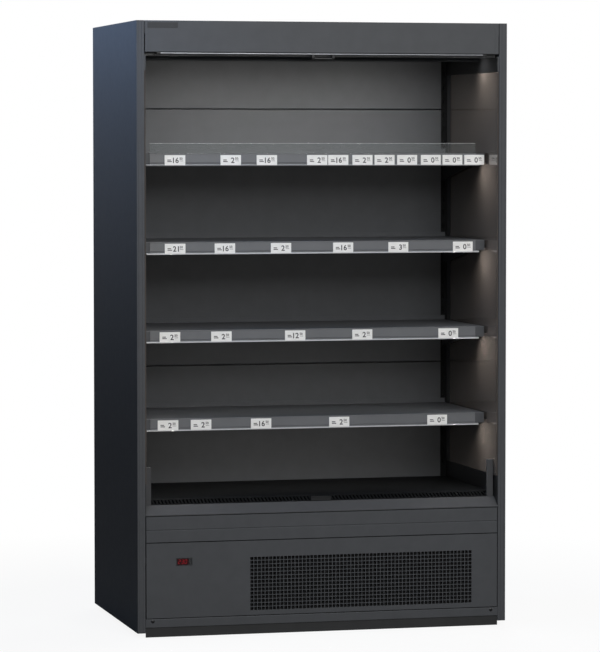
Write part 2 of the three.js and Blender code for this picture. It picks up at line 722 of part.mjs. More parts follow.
// One shelf, drawn with its upper face at height 0: the folded tray, the pair of brackets on
// their cross bar, the ticket strip and the light under the front edge.
function shelf(number, level) {
  const place = groupAt(0, 0, level);
  const half = shelfHalf();
  const stripFront = FRONT + SHELF_SETBACK;
  const lipFront = stripFront + STRIP + CLEAR;
  const rear = DUCT_FACE - SHELF_REAR_GAP;
  const ledge = FOLD;

  const tray = [
    [lipFront, 0], [lipFront, -SHELF_LIP], [lipFront + ledge, -SHELF_LIP],
    [lipFront + ledge, SHEET - SHELF_LIP], [lipFront + SHEET, SHEET - SHELF_LIP],
    [lipFront + SHEET, -SHEET], [rear, -SHEET], [rear, SHELF_BACKSTOP],
    [rear - SHEET, SHELF_BACKSTOP], [rear - SHEET, 0],
  ];
  const cheeks = SIDES.map(([, sign]) => {
    const edges = [sign * half, sign * (half - SHEET)].sort((a, b) => a - b);
    return block(...edges, lipFront + SHEET / 2, rear, -SHELF_FLANGE, -SHEET / 2);
  });
  piece("shelf_" + number, joined(alongX(tray, -half, half), ...cheeks), PAINT, place);

  const top = -SHEET - CLEAR;
  const heel = DUCT_FACE - CLEAR;
  const toe = lipFront + SHEET + BRACKET_TOE_GAP;
  const tip = DUCT_FACE + SLOT_DEPTH - PAST;
  const neck = top - TONGUE_DROP;
  const side = [
    [heel, top], [heel, neck], [tip, neck], [tip, neck - TONGUE], [heel, neck - TONGUE],
    [heel, -BRACKET_HEEL], [heel - BRACKET_HEEL_RUN, -BRACKET_HEEL], [toe, top - BRACKET_TOE],
    [toe, top],
  ];
  const outer = half - SHEET - CLEAR;
  const plates = SIDES.map(([, sign]) => {
    const edges = [sign * outer, sign * (outer - BRACKET)].sort((a, b) => a - b);
    return alongX(side, ...edges);
  });
  const barY = rear - SHELF_FLANGE;
  const bar = block(-outer, outer, barY - CROSS_BAR, barY, top - CROSS_BAR, top);
  piece("shelf_bracket_" + number, joined(bar, ...plates), DARK_PAINT, place);

  const line = STRIP_LINE - SHELF_LIP;
  const strip = [
    [stripFront, 0], [stripFront, line + STRIP_GROOVE / 2], [stripFront + STRIP_GROOVE, line],
    [stripFront, line - STRIP_GROOVE / 2], [stripFront, -SHELF_LIP],
    [stripFront + STRIP, -SHELF_LIP], [stripFront + STRIP, 0],
  ];
  const stripHalf = half - STRIP_END_GAP;
  piece("ticket_strip_" + number, alongX(strip, -stripHalf, stripHalf), STRIP_PLASTIC, place);

  const lightTop = -SHELF_LIP - CLEAR;
  const lightHalf = half - LIGHT_END_GAP;
  const light = block(
    -lightHalf, lightHalf, stripFront, stripFront + LIGHT_DEPTH, lightTop - LIGHT_HEIGHT, lightTop,
  );
  piece("shelf_light_" + number, light, DIFFUSER, place);

  if (number === 1) {
    const foot = lipFront + SHEET;
    const guard = block(-stripHalf, stripHalf, foot, foot + RISER, CLEAR, RISER_HEIGHT);
    piece("shelf_riser_1", guard, ACRYLIC, place);
  }
}

function shelves() {
  for (let number = 1; number <= SHELVES; number += 1) {
    shelf(number, shelfLevel(SHELVES - number));
  }
}

// ---------------------------------------------------------------- deck

function deck() {
  const half = MIRROR_FACE - CLEAR;
  const rear = DUCT_FACE - 2 * CLEAR;
  const pan = [
    [DECK_FRONT, DECK], [DECK_FRONT, DECK - DECK_LIP], [DECK_FRONT + SHEET, DECK - DECK_LIP],
    [DECK_FRONT + SHEET, DECK - SHEET], [rear, DECK - SHEET], [rear, DECK],
  ];
  piece("deck_pan", alongX(pan, -half, half), DARK_PAINT);

  // The return air grille slopes up from the nose's lip to the deck pan.
  const front = NOSE_BACK + SHEET + 2 * CLEAR;
  const back = DECK_FRONT - 2 * CLEAR;
  const rise = DECK - NOSE_TOP;
  const angle = Math.atan2(rise, back - front);
  const length = Math.hypot(rise, back - front);
  const width = MIRROR_FACE - CLEAR - POST_WIDTH - CLEAR;
  const slot = RETURN_SLOT / 2;
  const margin = RETURN_SLOT;
  const slots = spread(-width + margin, width - margin, RETURN_SLOT, RETURN_PITCH).map((x) =>
    rectangle(x - slot, x + slot, margin / 2, length - margin / 2));
  const plate = alongZ(rectangle(-width, width, 0, length), -SHEET, 0, slots);
  const grille = piece("return_grille", plate, BLACK_PLASTIC);
  grille.rotation.x = angle;
  grille.position.set(0, front, NOSE_TOP - SHEET / 2);
}

// ---------------------------------------------------------------- fans

// A blade's corners, out along X in shares of the tip radius and across in shares of the same.
const BLADE_TIP = [[0.86, -0.27], [0.95, 0], [0.88, 0.24]];
const BLADE_ROOT = [0.8, 0.45]; // where the blade leaves the hub, in shares of the hub's radius

// A fan drawn about Z: a hub from height 0 up, with pitched blades round it.
function fanWheel(tip, hub, hubLength) {
  const [root, half] = BLADE_ROOT.map((share) => share * hub);
  const outer = BLADE_TIP.map(([out, across]) => [out * tip, across * tip]);
  const parts = Array.from({ length: FAN_BLADES }, (_, i) => {
    const g = alongZ([[root, -half], ...outer, [root, half]], -FAN_BLADE / 2, FAN_BLADE / 2);
    g.rotateX(FAN_PITCH_ANGLE).translate(0, 0, hubLength / 2);
    return g.rotateZ((i / FAN_BLADES) * 2 * Math.PI);
  });
  return joined(rod(hub, 0, hubLength), ...parts);
}

// A motor behind a round opening on four arms, about Z, with the plate's back face at height 0.
function motorMount(hub, length, opening, start) {
  const arms = [0, 1].map((turn) => {
    const reach = opening + ARM;
    const arm = block(-reach, reach, -ARM / 2, ARM / 2, start, start + ARM);
    return arm.rotateZ(Math.PI / 4 + (turn * Math.PI) / 2);
  });
  return joined(rod(hub, start, start + length), ...arms);
}

const FORWARD = -Math.PI / 2; // turns a shape drawn up Z to point along +Y

function placedAlongY(geometry, x, y, z) {
  return geometry.clone().rotateX(FORWARD).translate(x, y, z);
}

// ---------------------------------------------------------------- evaporator in the tub

function evaporatorFans() {
  const face = FRONT + FAN_PLATE_SETBACK;
  const low = TUB_TOP + CLEAR;
  const high = DECK - SHEET - CLEAR;
  const middle = (low + high) / 2;
  const opening = EVAPORATOR_FAN + FAN_TIP_GAP;
  const wheelDepth = EVAPORATOR_HUB_LENGTH;
  const openings = SIDES.map(([, sign]) => circle(sign * EVAPORATOR_FAN_X, middle, opening));
  const half = SPAN - CLEAR;
  const plate = alongY(rectangle(-half, half, low, high), face, face + SHEET, openings);
  const collars = SIDES.map(([, sign]) => {
    const ring = turned([
      [opening, 0], [opening + SHEET, 0], [opening + SHEET, wheelDepth + CLEAR + ARM],
      [opening, wheelDepth + CLEAR + ARM], [opening, 0],
    ]);
    return placedAlongY(ring, sign * EVAPORATOR_FAN_X, face, middle);
  });
  const mounts = SIDES.map(([, sign]) => {
    const start = wheelDepth + CLEAR;
    const mount = motorMount(EVAPORATOR_HUB, EVAPORATOR_MOTOR_LENGTH, opening - ARM / 2, start);
    return placedAlongY(mount, sign * EVAPORATOR_FAN_X, face, middle);
  });
  piece("fan_plate", joined(plate, ...collars, ...mounts), GALVANISED);
  for (const [side, sign] of SIDES) {
    const wheel = fanWheel(EVAPORATOR_FAN, EVAPORATOR_HUB, EVAPORATOR_HUB_LENGTH);
    const mesh = piece("evaporator_fan_" + side, wheel, FAN_PLASTIC);
    mesh.rotation.x = FORWARD;
    mesh.position.set(sign * EVAPORATOR_FAN_X, face, middle);
  }
}

// A finned coil as a comb: fins above and below a solid core, as [x, z] points about the middle.
function finnedCoil(halfWidth, height, pitch) {
  const half = height / 2;
  const core = FIN_CORE / 2;
  const fins = spread(-halfWidth, halfWidth, FIN, pitch);
  const first = fins[0] - FIN / 2;
  const last = fins[fins.length - 1] + FIN / 2;
  const row = (sign) =>
    fins.flatMap((x) => [
      [x - FIN / 2, sign * core], [x - FIN / 2, sign * half],
      [x + FIN / 2, sign * half], [x + FIN / 2, sign * core],
    ]);
  const inner = (points) => points.slice(1, -1);
  const above = [[first, core], ...inner(row(1)), [last, core]];
  const below = [[last, -core], ...inner(row(-1).reverse()), [first, -core]];
  return [...above, ...below];
}

function evaporator() {
  const half = INNER - EVAPORATOR_END_GAP;
  const front = FRONT + EVAPORATOR_SETBACK;
  const coil = finnedCoil(half, EVAPORATOR_HEIGHT, EVAPORATOR_FIN_PITCH);
  const middle = TUB_TOP + CLEAR + EVAPORATOR_HEIGHT / 2;
  const comb = alongY(coil, front, front + EVAPORATOR_DEPTH);
  piece("evaporator", comb, ALUMINIUM).position.z = middle;
}

// ---------------------------------------------------------------- base and condensing unit

// Welded base: two long and two cross rails under a plate, on four levelling feet.
function base() {
  const half = SPAN;
  const front = FRONT + FOLD + CLEAR;
  const back = BACK - SHEET - CLEAR;
  const top = BASE_TOP;
  const under = top - SHEET;
  const low = under - RAIL_HEIGHT;
  const parts = [
    block(-half, half, front, front + RAIL, low, under + SHEET / 2),
    block(-half, half, back - RAIL, back, low, under + SHEET / 2),
    block(-half, RAIL - half, front, back, low, under + SHEET / 2),
    block(half - RAIL, half, front, back, low, under + SHEET / 2),
  ];
  for (const x of [-half + FOOT_INSET, half - FOOT_INSET]) {
    for (const y of [front + FOOT_RADIUS, back - FOOT_RADIUS]) {
      const foot = turned([
        [0, 0], [FOOT_RADIUS, 0], [FOOT_RADIUS, FOOT_PAD / 2], [FOOT_STEM, FOOT_PAD],
        [FOOT_STEM, low + SHEET], [0, low + SHEET],
      ]);
      parts.push(foot.translate(x, y, 0));
    }
  }
  const plate = block(-half, half, front, back, under, top);
  piece("base_frame", joined(plate, ...parts), GALVANISED);
}

// A domed end of the pot, as shares of its radius out and inwards from the end.
const POT_DOME = [[0.62, 0.03], [0.9, 0.17], [1, 0.4]];

// The hermetic pot has a welded seam round its middle, a terminal cover and four rubber feet.
function compressor() {
  const r = COMPRESSOR_RADIUS;
  const low = COMPRESSOR_FOOT;
  const high = COMPRESSOR_HEIGHT;
  const seam = (low + high) / 2;
  const rim = POT_SEAM / 2;
  const pot = turned([
    [0, low], ...POT_DOME.map(([out, into]) => [r * out, low + r * into]), [r, seam - rim],
    [r + rim, seam - rim], [r + rim, seam + rim], [r, seam + rim],
    ...POT_DOME.map(([out, into]) => [r * out, high - r * into]).reverse(), [0, high],
  ]);
  const plate = block(-r, r, -r, r, low - SHEET, low + SHEET);
  const inset = r - COMPRESSOR_FOOT / 2;
  const feet = [-inset, inset].flatMap((a) => [-inset, inset].map((b) =>
    rod(COMPRESSOR_FOOT / 2, 0, low).translate(a, b, 0)));
  const half = TERMINAL_WIDTH / 2;
  const terminal = block(r / 2, r + TERMINAL_DEPTH, -half, half, seam - half, seam + half);
  const x = INNER - COMPRESSOR_END_GAP - r;
  const place = groupAt(x, BACK - COMPRESSOR_BACK_GAP - r, BASE_TOP + CLEAR);
  piece("compressor", joined(pot, plate, terminal, ...feet), COMPRESSOR_BLACK, place);
}

function condenser() {
  const front = CONDENSER_SETBACK;
  const middle = CONDENSER_HEIGHT / 2;
  const x = INNER - CONDENSER_END_GAP - CONDENSER_WIDTH / 2;
  const place = groupAt(x, FRONT, BASE_TOP + CLEAR);
  const coil = finnedCoil(CONDENSER_WIDTH / 2, CONDENSER_HEIGHT, CONDENSER_FIN_PITCH);
  const comb = alongY(coil, front, front + CONDENSER_DEPTH);
  piece("condenser", comb, ALUMINIUM, place).position.z = middle;

  const face = front + CONDENSER_DEPTH + CLEAR;
  const half = CONDENSER_WIDTH / 2;
  const opening = CONDENSER_FAN + FAN_TIP_GAP;
  const plate = alongY(
    rectangle(-half, half, 0, CONDENSER_HEIGHT), face, face + SHEET, [circle(0, middle, opening)],
  );
  const start = CONDENSER_FAN_STANDOFF + CONDENSER_HUB_LENGTH + CLEAR;
  const ring = turned([
    [opening, 0], [opening + SHEET, 0], [opening + SHEET, start + ARM],
    [opening, start + ARM], [opening, 0],
  ]);
  const mount = motorMount(CONDENSER_HUB, MOTOR_LENGTH, opening - ARM / 2, start);
  const collar = placedAlongY(ring, 0, face, middle);
  const motor = placedAlongY(mount, 0, face, middle);
  piece("fan_shroud", joined(plate, collar, motor), GALVANISED, place);

  const wheel = fanWheel(CONDENSER_FAN, CONDENSER_HUB, CONDENSER_HUB_LENGTH);
  const mesh = piece("condenser_fan", wheel, FAN_PLASTIC, place);
  mesh.rotation.x = FORWARD;
  mesh.position.set(0, face + CONDENSER_FAN_STANDOFF, middle);
}

// Meltwater from the drain stands in this tray until the compressor's warmth dries it up.
function evaporationTray() {
  const x = TRAY_WIDTH / 2;
  const y = TRAY_DEPTH / 2;
  const outer = block(-x, x, -y, y, 0, TRAY_HEIGHT);
  const inner = block(SHEET - x, x - SHEET, SHEET - y, y - SHEET, SHEET, TRAY_HEIGHT + PAST);
  const place = groupAt(TRAY_X, TRAY_Y, BASE_TOP + CLEAR);
  piece("evaporation_tray", cut(outer, inner), GALVANISED, place);
}

function electricalBox() {
  const x = ELECTRICAL_WIDTH / 2;
  const y = FRONT + ELECTRICAL_SETBACK;
  const place = groupAt(ELECTRICAL_END_GAP + x - INNER, y, BASE_TOP + CLEAR);
  const box = block(-x, x, 0, ELECTRICAL_DEPTH, 0, ELECTRICAL_HEIGHT);
  piece("electrical_box", box, DARK_PAINT, place);
}

// The louvred cover behind the condensing unit.
function rearGrille() {
  const low = BASE_TOP + CLEAR;
  const high = TUB_BOTTOM - CLEAR;
  const x = LOUVRE_LENGTH / 2;
  const z = LOUVRE_HEIGHT / 2;
  const holes = [];
  for (const a of spread(LOUVRE_GAP_X - SPAN, SPAN - LOUVRE_GAP_X, LOUVRE_LENGTH,
    LOUVRE_LENGTH + LOUVRE_GAP_X)) {
    for (const b of spread(low + LOUVRE_GAP_Z, high - LOUVRE_GAP_Z, LOUVRE_HEIGHT,
      LOUVRE_HEIGHT + LOUVRE_GAP_Z)) {
      holes.push(rectangle(a - x, a + x, b - z, b + z));
    }
  }
  const face = rectangle(-SPAN, SPAN, low, high);
  piece("rear_grille", alongY(face, BACK - SHEET, BACK, holes), PAINT);
}

// ---------------------------------------------------------------- assembly

endWalls();
backWall();
roof();
tub();
frontPanel();
nose();
servicePanel();
kickPlate();
controller();
ductPanels();
uprights();
mirrors();
ceiling();
fascia();
honeycomb();
canopyLight();
nightBlind();
shelves();
deck();
evaporatorFans();
evaporator();
base();
compressor();
condenser();
evaporationTray();
electricalBox();
rearGrille();

export default cabinet;
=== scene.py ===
"""An open multideck display fridge in a plain studio.

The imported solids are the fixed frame. Every piece here is a surface worked out with numpy in
millimetres from the frame's own corners, and put into Blender in metres.
"""

import functools
import json
import math

import bpy
import numpy as np
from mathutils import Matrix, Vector

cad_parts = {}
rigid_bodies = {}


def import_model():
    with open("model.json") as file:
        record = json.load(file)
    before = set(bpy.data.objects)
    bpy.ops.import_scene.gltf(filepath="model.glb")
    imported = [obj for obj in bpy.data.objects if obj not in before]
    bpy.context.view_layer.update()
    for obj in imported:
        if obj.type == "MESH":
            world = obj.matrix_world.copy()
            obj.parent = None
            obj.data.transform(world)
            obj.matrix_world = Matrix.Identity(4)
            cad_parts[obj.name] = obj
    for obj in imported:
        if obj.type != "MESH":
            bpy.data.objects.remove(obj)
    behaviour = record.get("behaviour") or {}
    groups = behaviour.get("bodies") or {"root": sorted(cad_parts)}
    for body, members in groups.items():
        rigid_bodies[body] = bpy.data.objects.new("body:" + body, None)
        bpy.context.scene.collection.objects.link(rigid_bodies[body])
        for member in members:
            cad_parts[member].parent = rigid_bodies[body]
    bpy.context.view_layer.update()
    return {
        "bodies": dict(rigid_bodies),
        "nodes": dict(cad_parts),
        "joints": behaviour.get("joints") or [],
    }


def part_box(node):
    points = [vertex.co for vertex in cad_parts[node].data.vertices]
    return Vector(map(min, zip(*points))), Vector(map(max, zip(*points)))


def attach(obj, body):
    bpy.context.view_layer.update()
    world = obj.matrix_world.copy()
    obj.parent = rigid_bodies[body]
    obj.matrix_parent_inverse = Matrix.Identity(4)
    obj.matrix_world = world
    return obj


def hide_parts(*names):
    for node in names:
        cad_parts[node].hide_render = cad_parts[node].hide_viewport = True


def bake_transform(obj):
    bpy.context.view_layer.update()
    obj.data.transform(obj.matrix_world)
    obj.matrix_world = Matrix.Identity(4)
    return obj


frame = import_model()

MM = 0.001
X, Y, Z = 0, 1, 2
SIDES = (("left", -1), ("right", 1))
SHEET = 2.0  # folded sheet steel
BEND = 1.8  # radius of its folds, at the middle of the sheet
SHARP = math.radians(32)  # edges that turn more than this stay crisp
GAP = 0.3  # clearance between neighbours


# ------------------------------------------------------------------ forms, in millimetres


def quads(rows, columns, around=False, over=False):
    """Faces of a grid of points: around joins its last column to the first, over its last row."""
    row = np.arange(rows if over else rows - 1)[:, None]
    column = np.arange(columns if around else columns - 1)[None, :]
    up, right = (row + 1) % rows, (column + 1) % columns
    corners = [row * columns + column, row * columns + right, up * columns + right, up * columns + column]
    return np.stack(np.broadcast_arrays(*corners), axis=-1).reshape(-1, 4)


def outward(points, groups):
    """A closed form with its faces turned out: the volume summed over its faces is above zero."""
    volume = 0.0
    for group in groups:
        corner = points[group]
        fan = np.cross(corner[:, 1:-1], corner[:, 2:])
        volume += float(np.sum(corner[:, :1] * fan))
    return points, groups if volume > 0 else [group[:, ::-1] for group in groups]


def loft(rings, over=False):
    """A skin over rings of points that follow each other, with a flat cap on the first and last
    ring, or none where over joins the last ring to the first."""
    rings = np.asarray(rings, float)
    rows, columns = rings.shape[:2]
    groups = [quads(rows, columns, around=True, over=over)]
    if not over:
        first = np.arange(columns)
        groups.append(np.stack([first[::-1], first + (rows - 1) * columns]))
    return outward(rings.reshape(-1, 3), groups)


def rounded(corners, radii, steps=4):
    """An outline whose corners are arcs. Each arc starts on one side and ends on the other, at
    radius / tan(half the angle between them) from the corner, and turns about the point that
    lies radius / sin(half the angle) away on the line that halves it."""
    corners = np.asarray(corners, float)
    made = []
    for before, corner, after, radius in zip(
        np.roll(corners, 1, 0), corners, np.roll(corners, -1, 0), np.broadcast_to(radii, len(corners))
    ):
        if not radius:
            made.append(corner[None])
            continue
        back = (before - corner) / np.linalg.norm(before - corner)
        on = (after - corner) / np.linalg.norm(after - corner)
        half = math.acos(np.clip(back @ on, -1, 1)) / 2
        centre = corner + (back + on) / np.linalg.norm(back + on) * radius / math.sin(half)
        first, last = (corner + way * radius / math.tan(half) - centre for way in (back, on))
        turn = math.pi - 2 * half
        share = np.linspace(0, 1, steps + 1)[:, None]
        arc = np.sin((1 - share) * turn) * first + np.sin(share * turn) * last
        made.append(centre + arc / math.sin(turn))
    return np.concatenate(made)


def folded(line, thickness=SHEET, bend=BEND, steps=4):
    """A folded sheet's outline. The middle line runs straight between its corners and turns each
    one on an arc of the bend radius, and the faces lie half a thickness to either side of it."""
    line = np.asarray(line, float)
    ways = np.diff(line, axis=0)
    ways /= np.linalg.norm(ways, axis=1, keepdims=True)
    normals = np.stack([-ways[:, 1], ways[:, 0]], axis=1)
    middle, sides = [line[:1]], [normals[:1]]
    for corner, way, before, after in zip(line[1:-1], ways, normals, normals[1:]):
        turn = math.acos(np.clip(before @ after, -1, 1))
        side = math.copysign(1, way @ after * -1)
        centre = corner - way * bend * math.tan(turn / 2) + side * bend * before
        share = np.linspace(0, 1, steps + 1)[:, None]
        normal = (np.sin((1 - share) * turn) * before + np.sin(share * turn) * after) / math.sin(turn)
        middle.append(centre - side * bend * normal)
        sides.append(normal)
    middle, sides = np.concatenate([*middle, line[-1:]]), np.concatenate([*sides, normals[-1:]])
    return np.concatenate([middle + sides * thickness / 2, (middle - sides * thickness / 2)[::-1]])


def drawn_in(outline, distance):
    """The outline moved inwards: each corner goes along the sum of its two sides' normals."""
    after = np.roll(outline, -1, 0)
    ahead = (after - outline) / np.linalg.norm(after - outline, axis=1, keepdims=True)
    area = np.sum(outline[:, 0] * after[:, 1] - after[:, 0] * outline[:, 1])
    inward = np.sign(area) * np.stack([-ahead[:, 1], ahead[:, 0]], axis=1)
    before = np.roll(inward, 1, 0)
    return outline + distance * (inward + before) / (1 + np.sum(inward * before, axis=1, keepdims=True))


def stacked(plans, axis=Z, over=False):
    """A skin over pairs of an outline in the other two axes and its level along one axis."""
    rings = np.empty((len(plans), len(plans[0][0]), 3))
    flat = [i for i in (X, Y, Z) if i != axis]
    for ring, (plan, level) in zip(rings, plans):
        ring[:, flat], ring[:, axis] = plan, level
    return loft(rings, over)


def prism(outline, axis, low, high, edge=0.0):
    """An outline in the other two axes carried along one axis. With an edge radius its ends draw
    in on a quarter circle: by edge * (1 - sine) over a length of edge * (1 - cosine)."""
    outline = np.asarray(outline, float)
    turns = np.radians([0, 45, 90]) if edge else np.zeros(1)
    insets, runs = edge * (1 - np.sin(turns)), edge * (1 - np.cos(turns))
    levels = np.concatenate([low + runs, (high - runs)[::-1]])
    plans = [drawn_in(outline, inset) if inset else outline for inset in (*insets, *insets[::-1])]
    return stacked(list(zip(plans, levels)), axis)


def rectangle(low_a, low_b, high_a, high_b):
    """The four corners of an upright rectangle."""
    return np.array([(low_a, low_b), (high_a, low_b), (high_a, high_b), (low_a, high_b)], float)


def brick(low, high, edge=0.8):
    """A box with rounded edges: a rounded rectangle carried up, with rounded ends."""
    plan = rounded(rectangle(low[X], low[Y], high[X], high[Y]), 1.3 * edge, steps=3)
    return prism(plan, Z, low[Z], high[Z], edge)


def turned(profile, centre, axis=Z, steps=48):
    """A profile of (radius, height) points turned about an axis: the radius times cosine and
    sine on the other two axes, and the height along it."""
    radius, height = np.asarray(profile, float).T[:, :, None]
    turn = np.linspace(0, 2 * math.pi, steps, endpoint=False)
    a, b = (i for i in (X, Y, Z) if i != axis)
    rings = np.empty((len(profile), steps, 3))
    rings[..., a] = centre[a] + radius * np.cos(turn)
    rings[..., b] = centre[b] + radius * np.sin(turn)
    rings[..., axis] = centre[axis] + height
    return loft(rings)


def pipe(corners, radius, bend, sides=14):
    """A pipe with bent corners: circles square to its path, each one's first spoke being the
    last one's less the part of it that lies along the path."""
    corners = np.asarray(corners, float)
    radii = np.zeros(len(corners))
    radii[1:-1] = bend
    path = rounded(corners, radii, steps=6)
    ways = np.gradient(path, axis=0)
    ways /= np.linalg.norm(ways, axis=1, keepdims=True)
    turn = np.linspace(0, 2 * math.pi, sides, endpoint=False)[:, None]
    spoke = np.cross(ways[0], (0.31, 0.57, 0.76))
    rings = []
    for place, way in zip(path, ways):
        spoke = spoke - way * (spoke @ way)
        spoke /= np.linalg.norm(spoke)
        rings.append(place + radius * (np.cos(turn) * spoke + np.sin(turn) * np.cross(way, spoke)))
    return loft(rings)


def pierced(groups, axis, low, high):
    """A flat sheet of polygons that lie side by side, each a run of corners in the other two
    axes: every polygon on both faces, and a wall on each edge that only one polygon has, which
    lines the holes and the rim."""
    corners = np.concatenate([group.reshape(-1, 2) for group in groups])
    flat, index = np.unique(np.round(corners, 4), axis=0, return_inverse=True)
    index = index.ravel()
    count, start, faces, edges = len(flat), 0, [], []
    for group in groups:
        ids = index[start : start + group.shape[0] * group.shape[1]].reshape(group.shape[:2])
        start += ids.size
        faces += [ids, ids[:, ::-1] + count]
        edges.append(np.stack([ids, np.roll(ids, -1, axis=1)], axis=-1).reshape(-1, 2))
    edges = np.concatenate(edges)
    ordered = np.sort(edges, axis=1)
    _, which, uses = np.unique(ordered[:, 0] * count + ordered[:, 1], return_inverse=True, return_counts=True)
    rim = edges[uses[which.ravel()] == 1]
    faces.append(np.stack([rim[:, 1], rim[:, 0], rim[:, 0] + count, rim[:, 1] + count], axis=1))
    points = np.empty((2 * count, 3))
    points[:, [i for i in (X, Y, Z) if i != axis]] = np.tile(flat, (2, 1))
    points[:count, axis], points[count:, axis] = low, high
    return outward(points, faces)


def holed(lines_a, lines_b, half_a, half_b, nick):
    """Cells between grid lines, each with a hole of two half sizes and cut corners in its middle:
    four quads from the cell's sides to the hole's, and four triangles at its corners."""
    left, low = (part.ravel() for part in np.meshgrid(lines_a[:-1], lines_b[:-1], indexing="ij"))
    right, high = (part.ravel() for part in np.meshgrid(lines_a[1:], lines_b[1:], indexing="ij"))
    outer = np.stack([left, low, right, low, right, high, left, high], axis=1).reshape(-1, 4, 2)
    middle = outer.mean(axis=1, keepdims=True)
    a, b, c, d = half_a, half_b, half_a - nick, half_b - nick
    start = middle + np.array([(-c, -b), (a, -d), (c, b), (-a, d)])
    end = middle + np.array([(c, -b), (a, d), (-c, b), (-a, -d)])
    sides = np.stack([outer, np.roll(outer, -1, axis=1), end, start], axis=2).reshape(-1, 4, 2)
    tips = np.stack([outer, start, np.roll(end, 1, axis=1)], axis=2).reshape(-1, 3, 2)
    return [sides, tips]


def plain(lines_a, lines_b, skip=()):
    """The rectangles between grid lines, without the skipped (column, row) ones."""
    cells = [
        rectangle(lines_a[i], lines_b[j], lines_a[i + 1], lines_b[j + 1])
        for i in range(len(lines_a) - 1)
        for j in range(len(lines_b) - 1)
        if (i, j) not in skip
    ]
    return np.stack(cells)


@functools.cache
def figures(text, height):
    """Digits as one flat form, in x and z from their low left corner, scaled to the height: the
    built-in letter shapes, a hair heavier, made a mesh and merged. Each is made once."""
    curve = bpy.data.curves.new("figures", "FONT")
    curve.body = text
    curve.extrude, curve.offset = 0.01, 0.02
    curve.resolution_u = 3
    holder = bpy.data.objects.new("figures", curve)
    mesh = bpy.data.meshes.new_from_object(holder)
    points = np.empty(len(mesh.vertices) * 3)
    mesh.vertices.foreach_get("co", points)
    flat, index = np.unique(np.round(points.reshape(-1, 3), 5), axis=0, return_inverse=True)
    index = index.ravel()
    by_size = {}
    for face in mesh.polygons:
        corners = index[list(face.vertices)]
        if len(set(corners)) == len(corners):
            by_size.setdefault(len(corners), []).append(corners)
    for holding, block in ((bpy.data.objects, holder), (bpy.data.meshes, mesh), (bpy.data.curves, curve)):
        holding.remove(block)
    flat = (flat - flat.min(axis=0)) / np.ptp(flat[:, 1]) * height
    return flat, [np.array(group) for group in by_size.values()]


def leant(form, angle, place):
    """The form turned up by an angle about the X axis, then moved to a place."""
    points, groups = form
    made = points.copy()
    made[:, Y] = math.cos(angle) * points[:, Y] - math.sin(angle) * points[:, Z]
    made[:, Z] = math.sin(angle) * points[:, Y] + math.cos(angle) * points[:, Z]
    return made + place, groups


def limits(node):
    """The lowest and highest corner of a CAD node, in millimetres."""
    return tuple(np.array(corner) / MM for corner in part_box(node))


def both_ends(reach, length):
    """The spans in x of that length at the left and the right end of what reaches that far."""
    return (-reach, length - reach), (reach - length, reach)


def edge_places(low, high, inset):
    """The four places in x and z that lie so far in from a piece's corners."""
    return [(x, z) for x in (low[X] + inset, high[X] - inset) for z in (low[Z] + inset, high[Z] - inset)]


def placed(name, data):
    """A new object in the scene."""
    made = bpy.data.objects.new(name, data)
    bpy.context.scene.collection.objects.link(made)
    return made


def put(name, body, forms, finish, replaces=()):
    """One piece of the fridge: its forms joined in one mesh, riding on a body."""
    points, faces, start = [], [], 0
    for form, groups in forms:
        points.append(form)
        for group in groups:
            faces += (group + start).tolist()
        start += len(form)
    mesh = bpy.data.meshes.new(name)
    mesh.from_pydata(np.concatenate(points) * MM, [], faces)
    mesh.shade_smooth()
    mesh.set_sharp_from_angle(angle=SHARP)
    mesh.materials.append(finish)
    piece = placed(name, mesh)
    if body:
        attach(piece, body)
        flat = piece.modifiers.new("flat_faces_stay_flat", "WEIGHTED_NORMAL")
        flat.keep_sharp, flat.weight = True, 100
    if replaces:
        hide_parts(*replaces)
    return piece


# ------------------------------------------------------------------ materials


def srgb(code):
    """A #rrggbb colour as linear light, with alpha 1."""
    parts = np.array([int(code[i : i + 2], 16) for i in (1, 3, 5)]) / 255
    linear = np.where(parts <= 0.04045, parts / 12.92, ((parts + 0.055) / 1.055) ** 2.4)
    return (*linear.tolist(), 1.0)


def add(tree, kind, inputs=None, **settings):
    """Add one node: settings are its own properties, inputs its sockets' values or links."""
    node = tree.nodes.new("ShaderNode" + kind)
    for name, value in settings.items():
        setattr(node, name, value)
    for key, value in (inputs or {}).items():
        if isinstance(value, bpy.types.NodeSocket):
            tree.links.new(value, node.inputs[key])
        else:
            node.inputs[key].default_value = value
    return node


def finish_of(name, colour, roughness, **sockets):
    """A new material, its node tree and its shader, with the values that are the same all over."""
    material = bpy.data.materials.new(name)
    material.use_nodes = True
    shader = material.node_tree.nodes["Principled BSDF"]
    values = {"Base Color": srgb(colour), "Roughness": roughness, **sockets}
    for socket, value in values.items():
        shader.inputs[socket.replace("_", " ")].default_value = value
    material.diffuse_color = srgb(colour)
    return material, material.node_tree, shader


def noise(tree, size, stretch=(1, 1, 1), detail=2.0):
    """Soft noise from 0 to 1 whose lumps are that many millimetres across."""
    place = add(tree, "TexCoord").outputs["Object"]
    mapped = add(tree, "Mapping", {"Vector": place, "Scale": stretch}).outputs[0]
    return add(tree, "TexNoise", {"Vector": mapped, "Scale": 1 / (size * MM), "Detail": detail}).outputs[0]


def between(tree, share, low, high):
    """A number that goes from low to high as the share goes from 0.3 to 0.7."""
    settings = {"Value": share, "From Min": 0.3, "From Max": 0.7, "To Min": low, "To Max": high}
    return add(tree, "MapRange", settings).outputs[0]


def tone(tree, share, low, high):
    """A colour that goes from low to high with the share."""
    colours = {0: between(tree, share, 0, 1), 6: srgb(low), 7: srgb(high)}
    return add(tree, "Mix", colours, data_type="RGBA").outputs[2]


def relief(tree, shader, height, depth):
    """Bumps of a depth in millimetres."""
    bump = add(tree, "Bump", {"Height": height, "Distance": depth * MM, "Strength": 1.0})
    tree.links.new(bump.outputs[0], shader.inputs["Normal"])


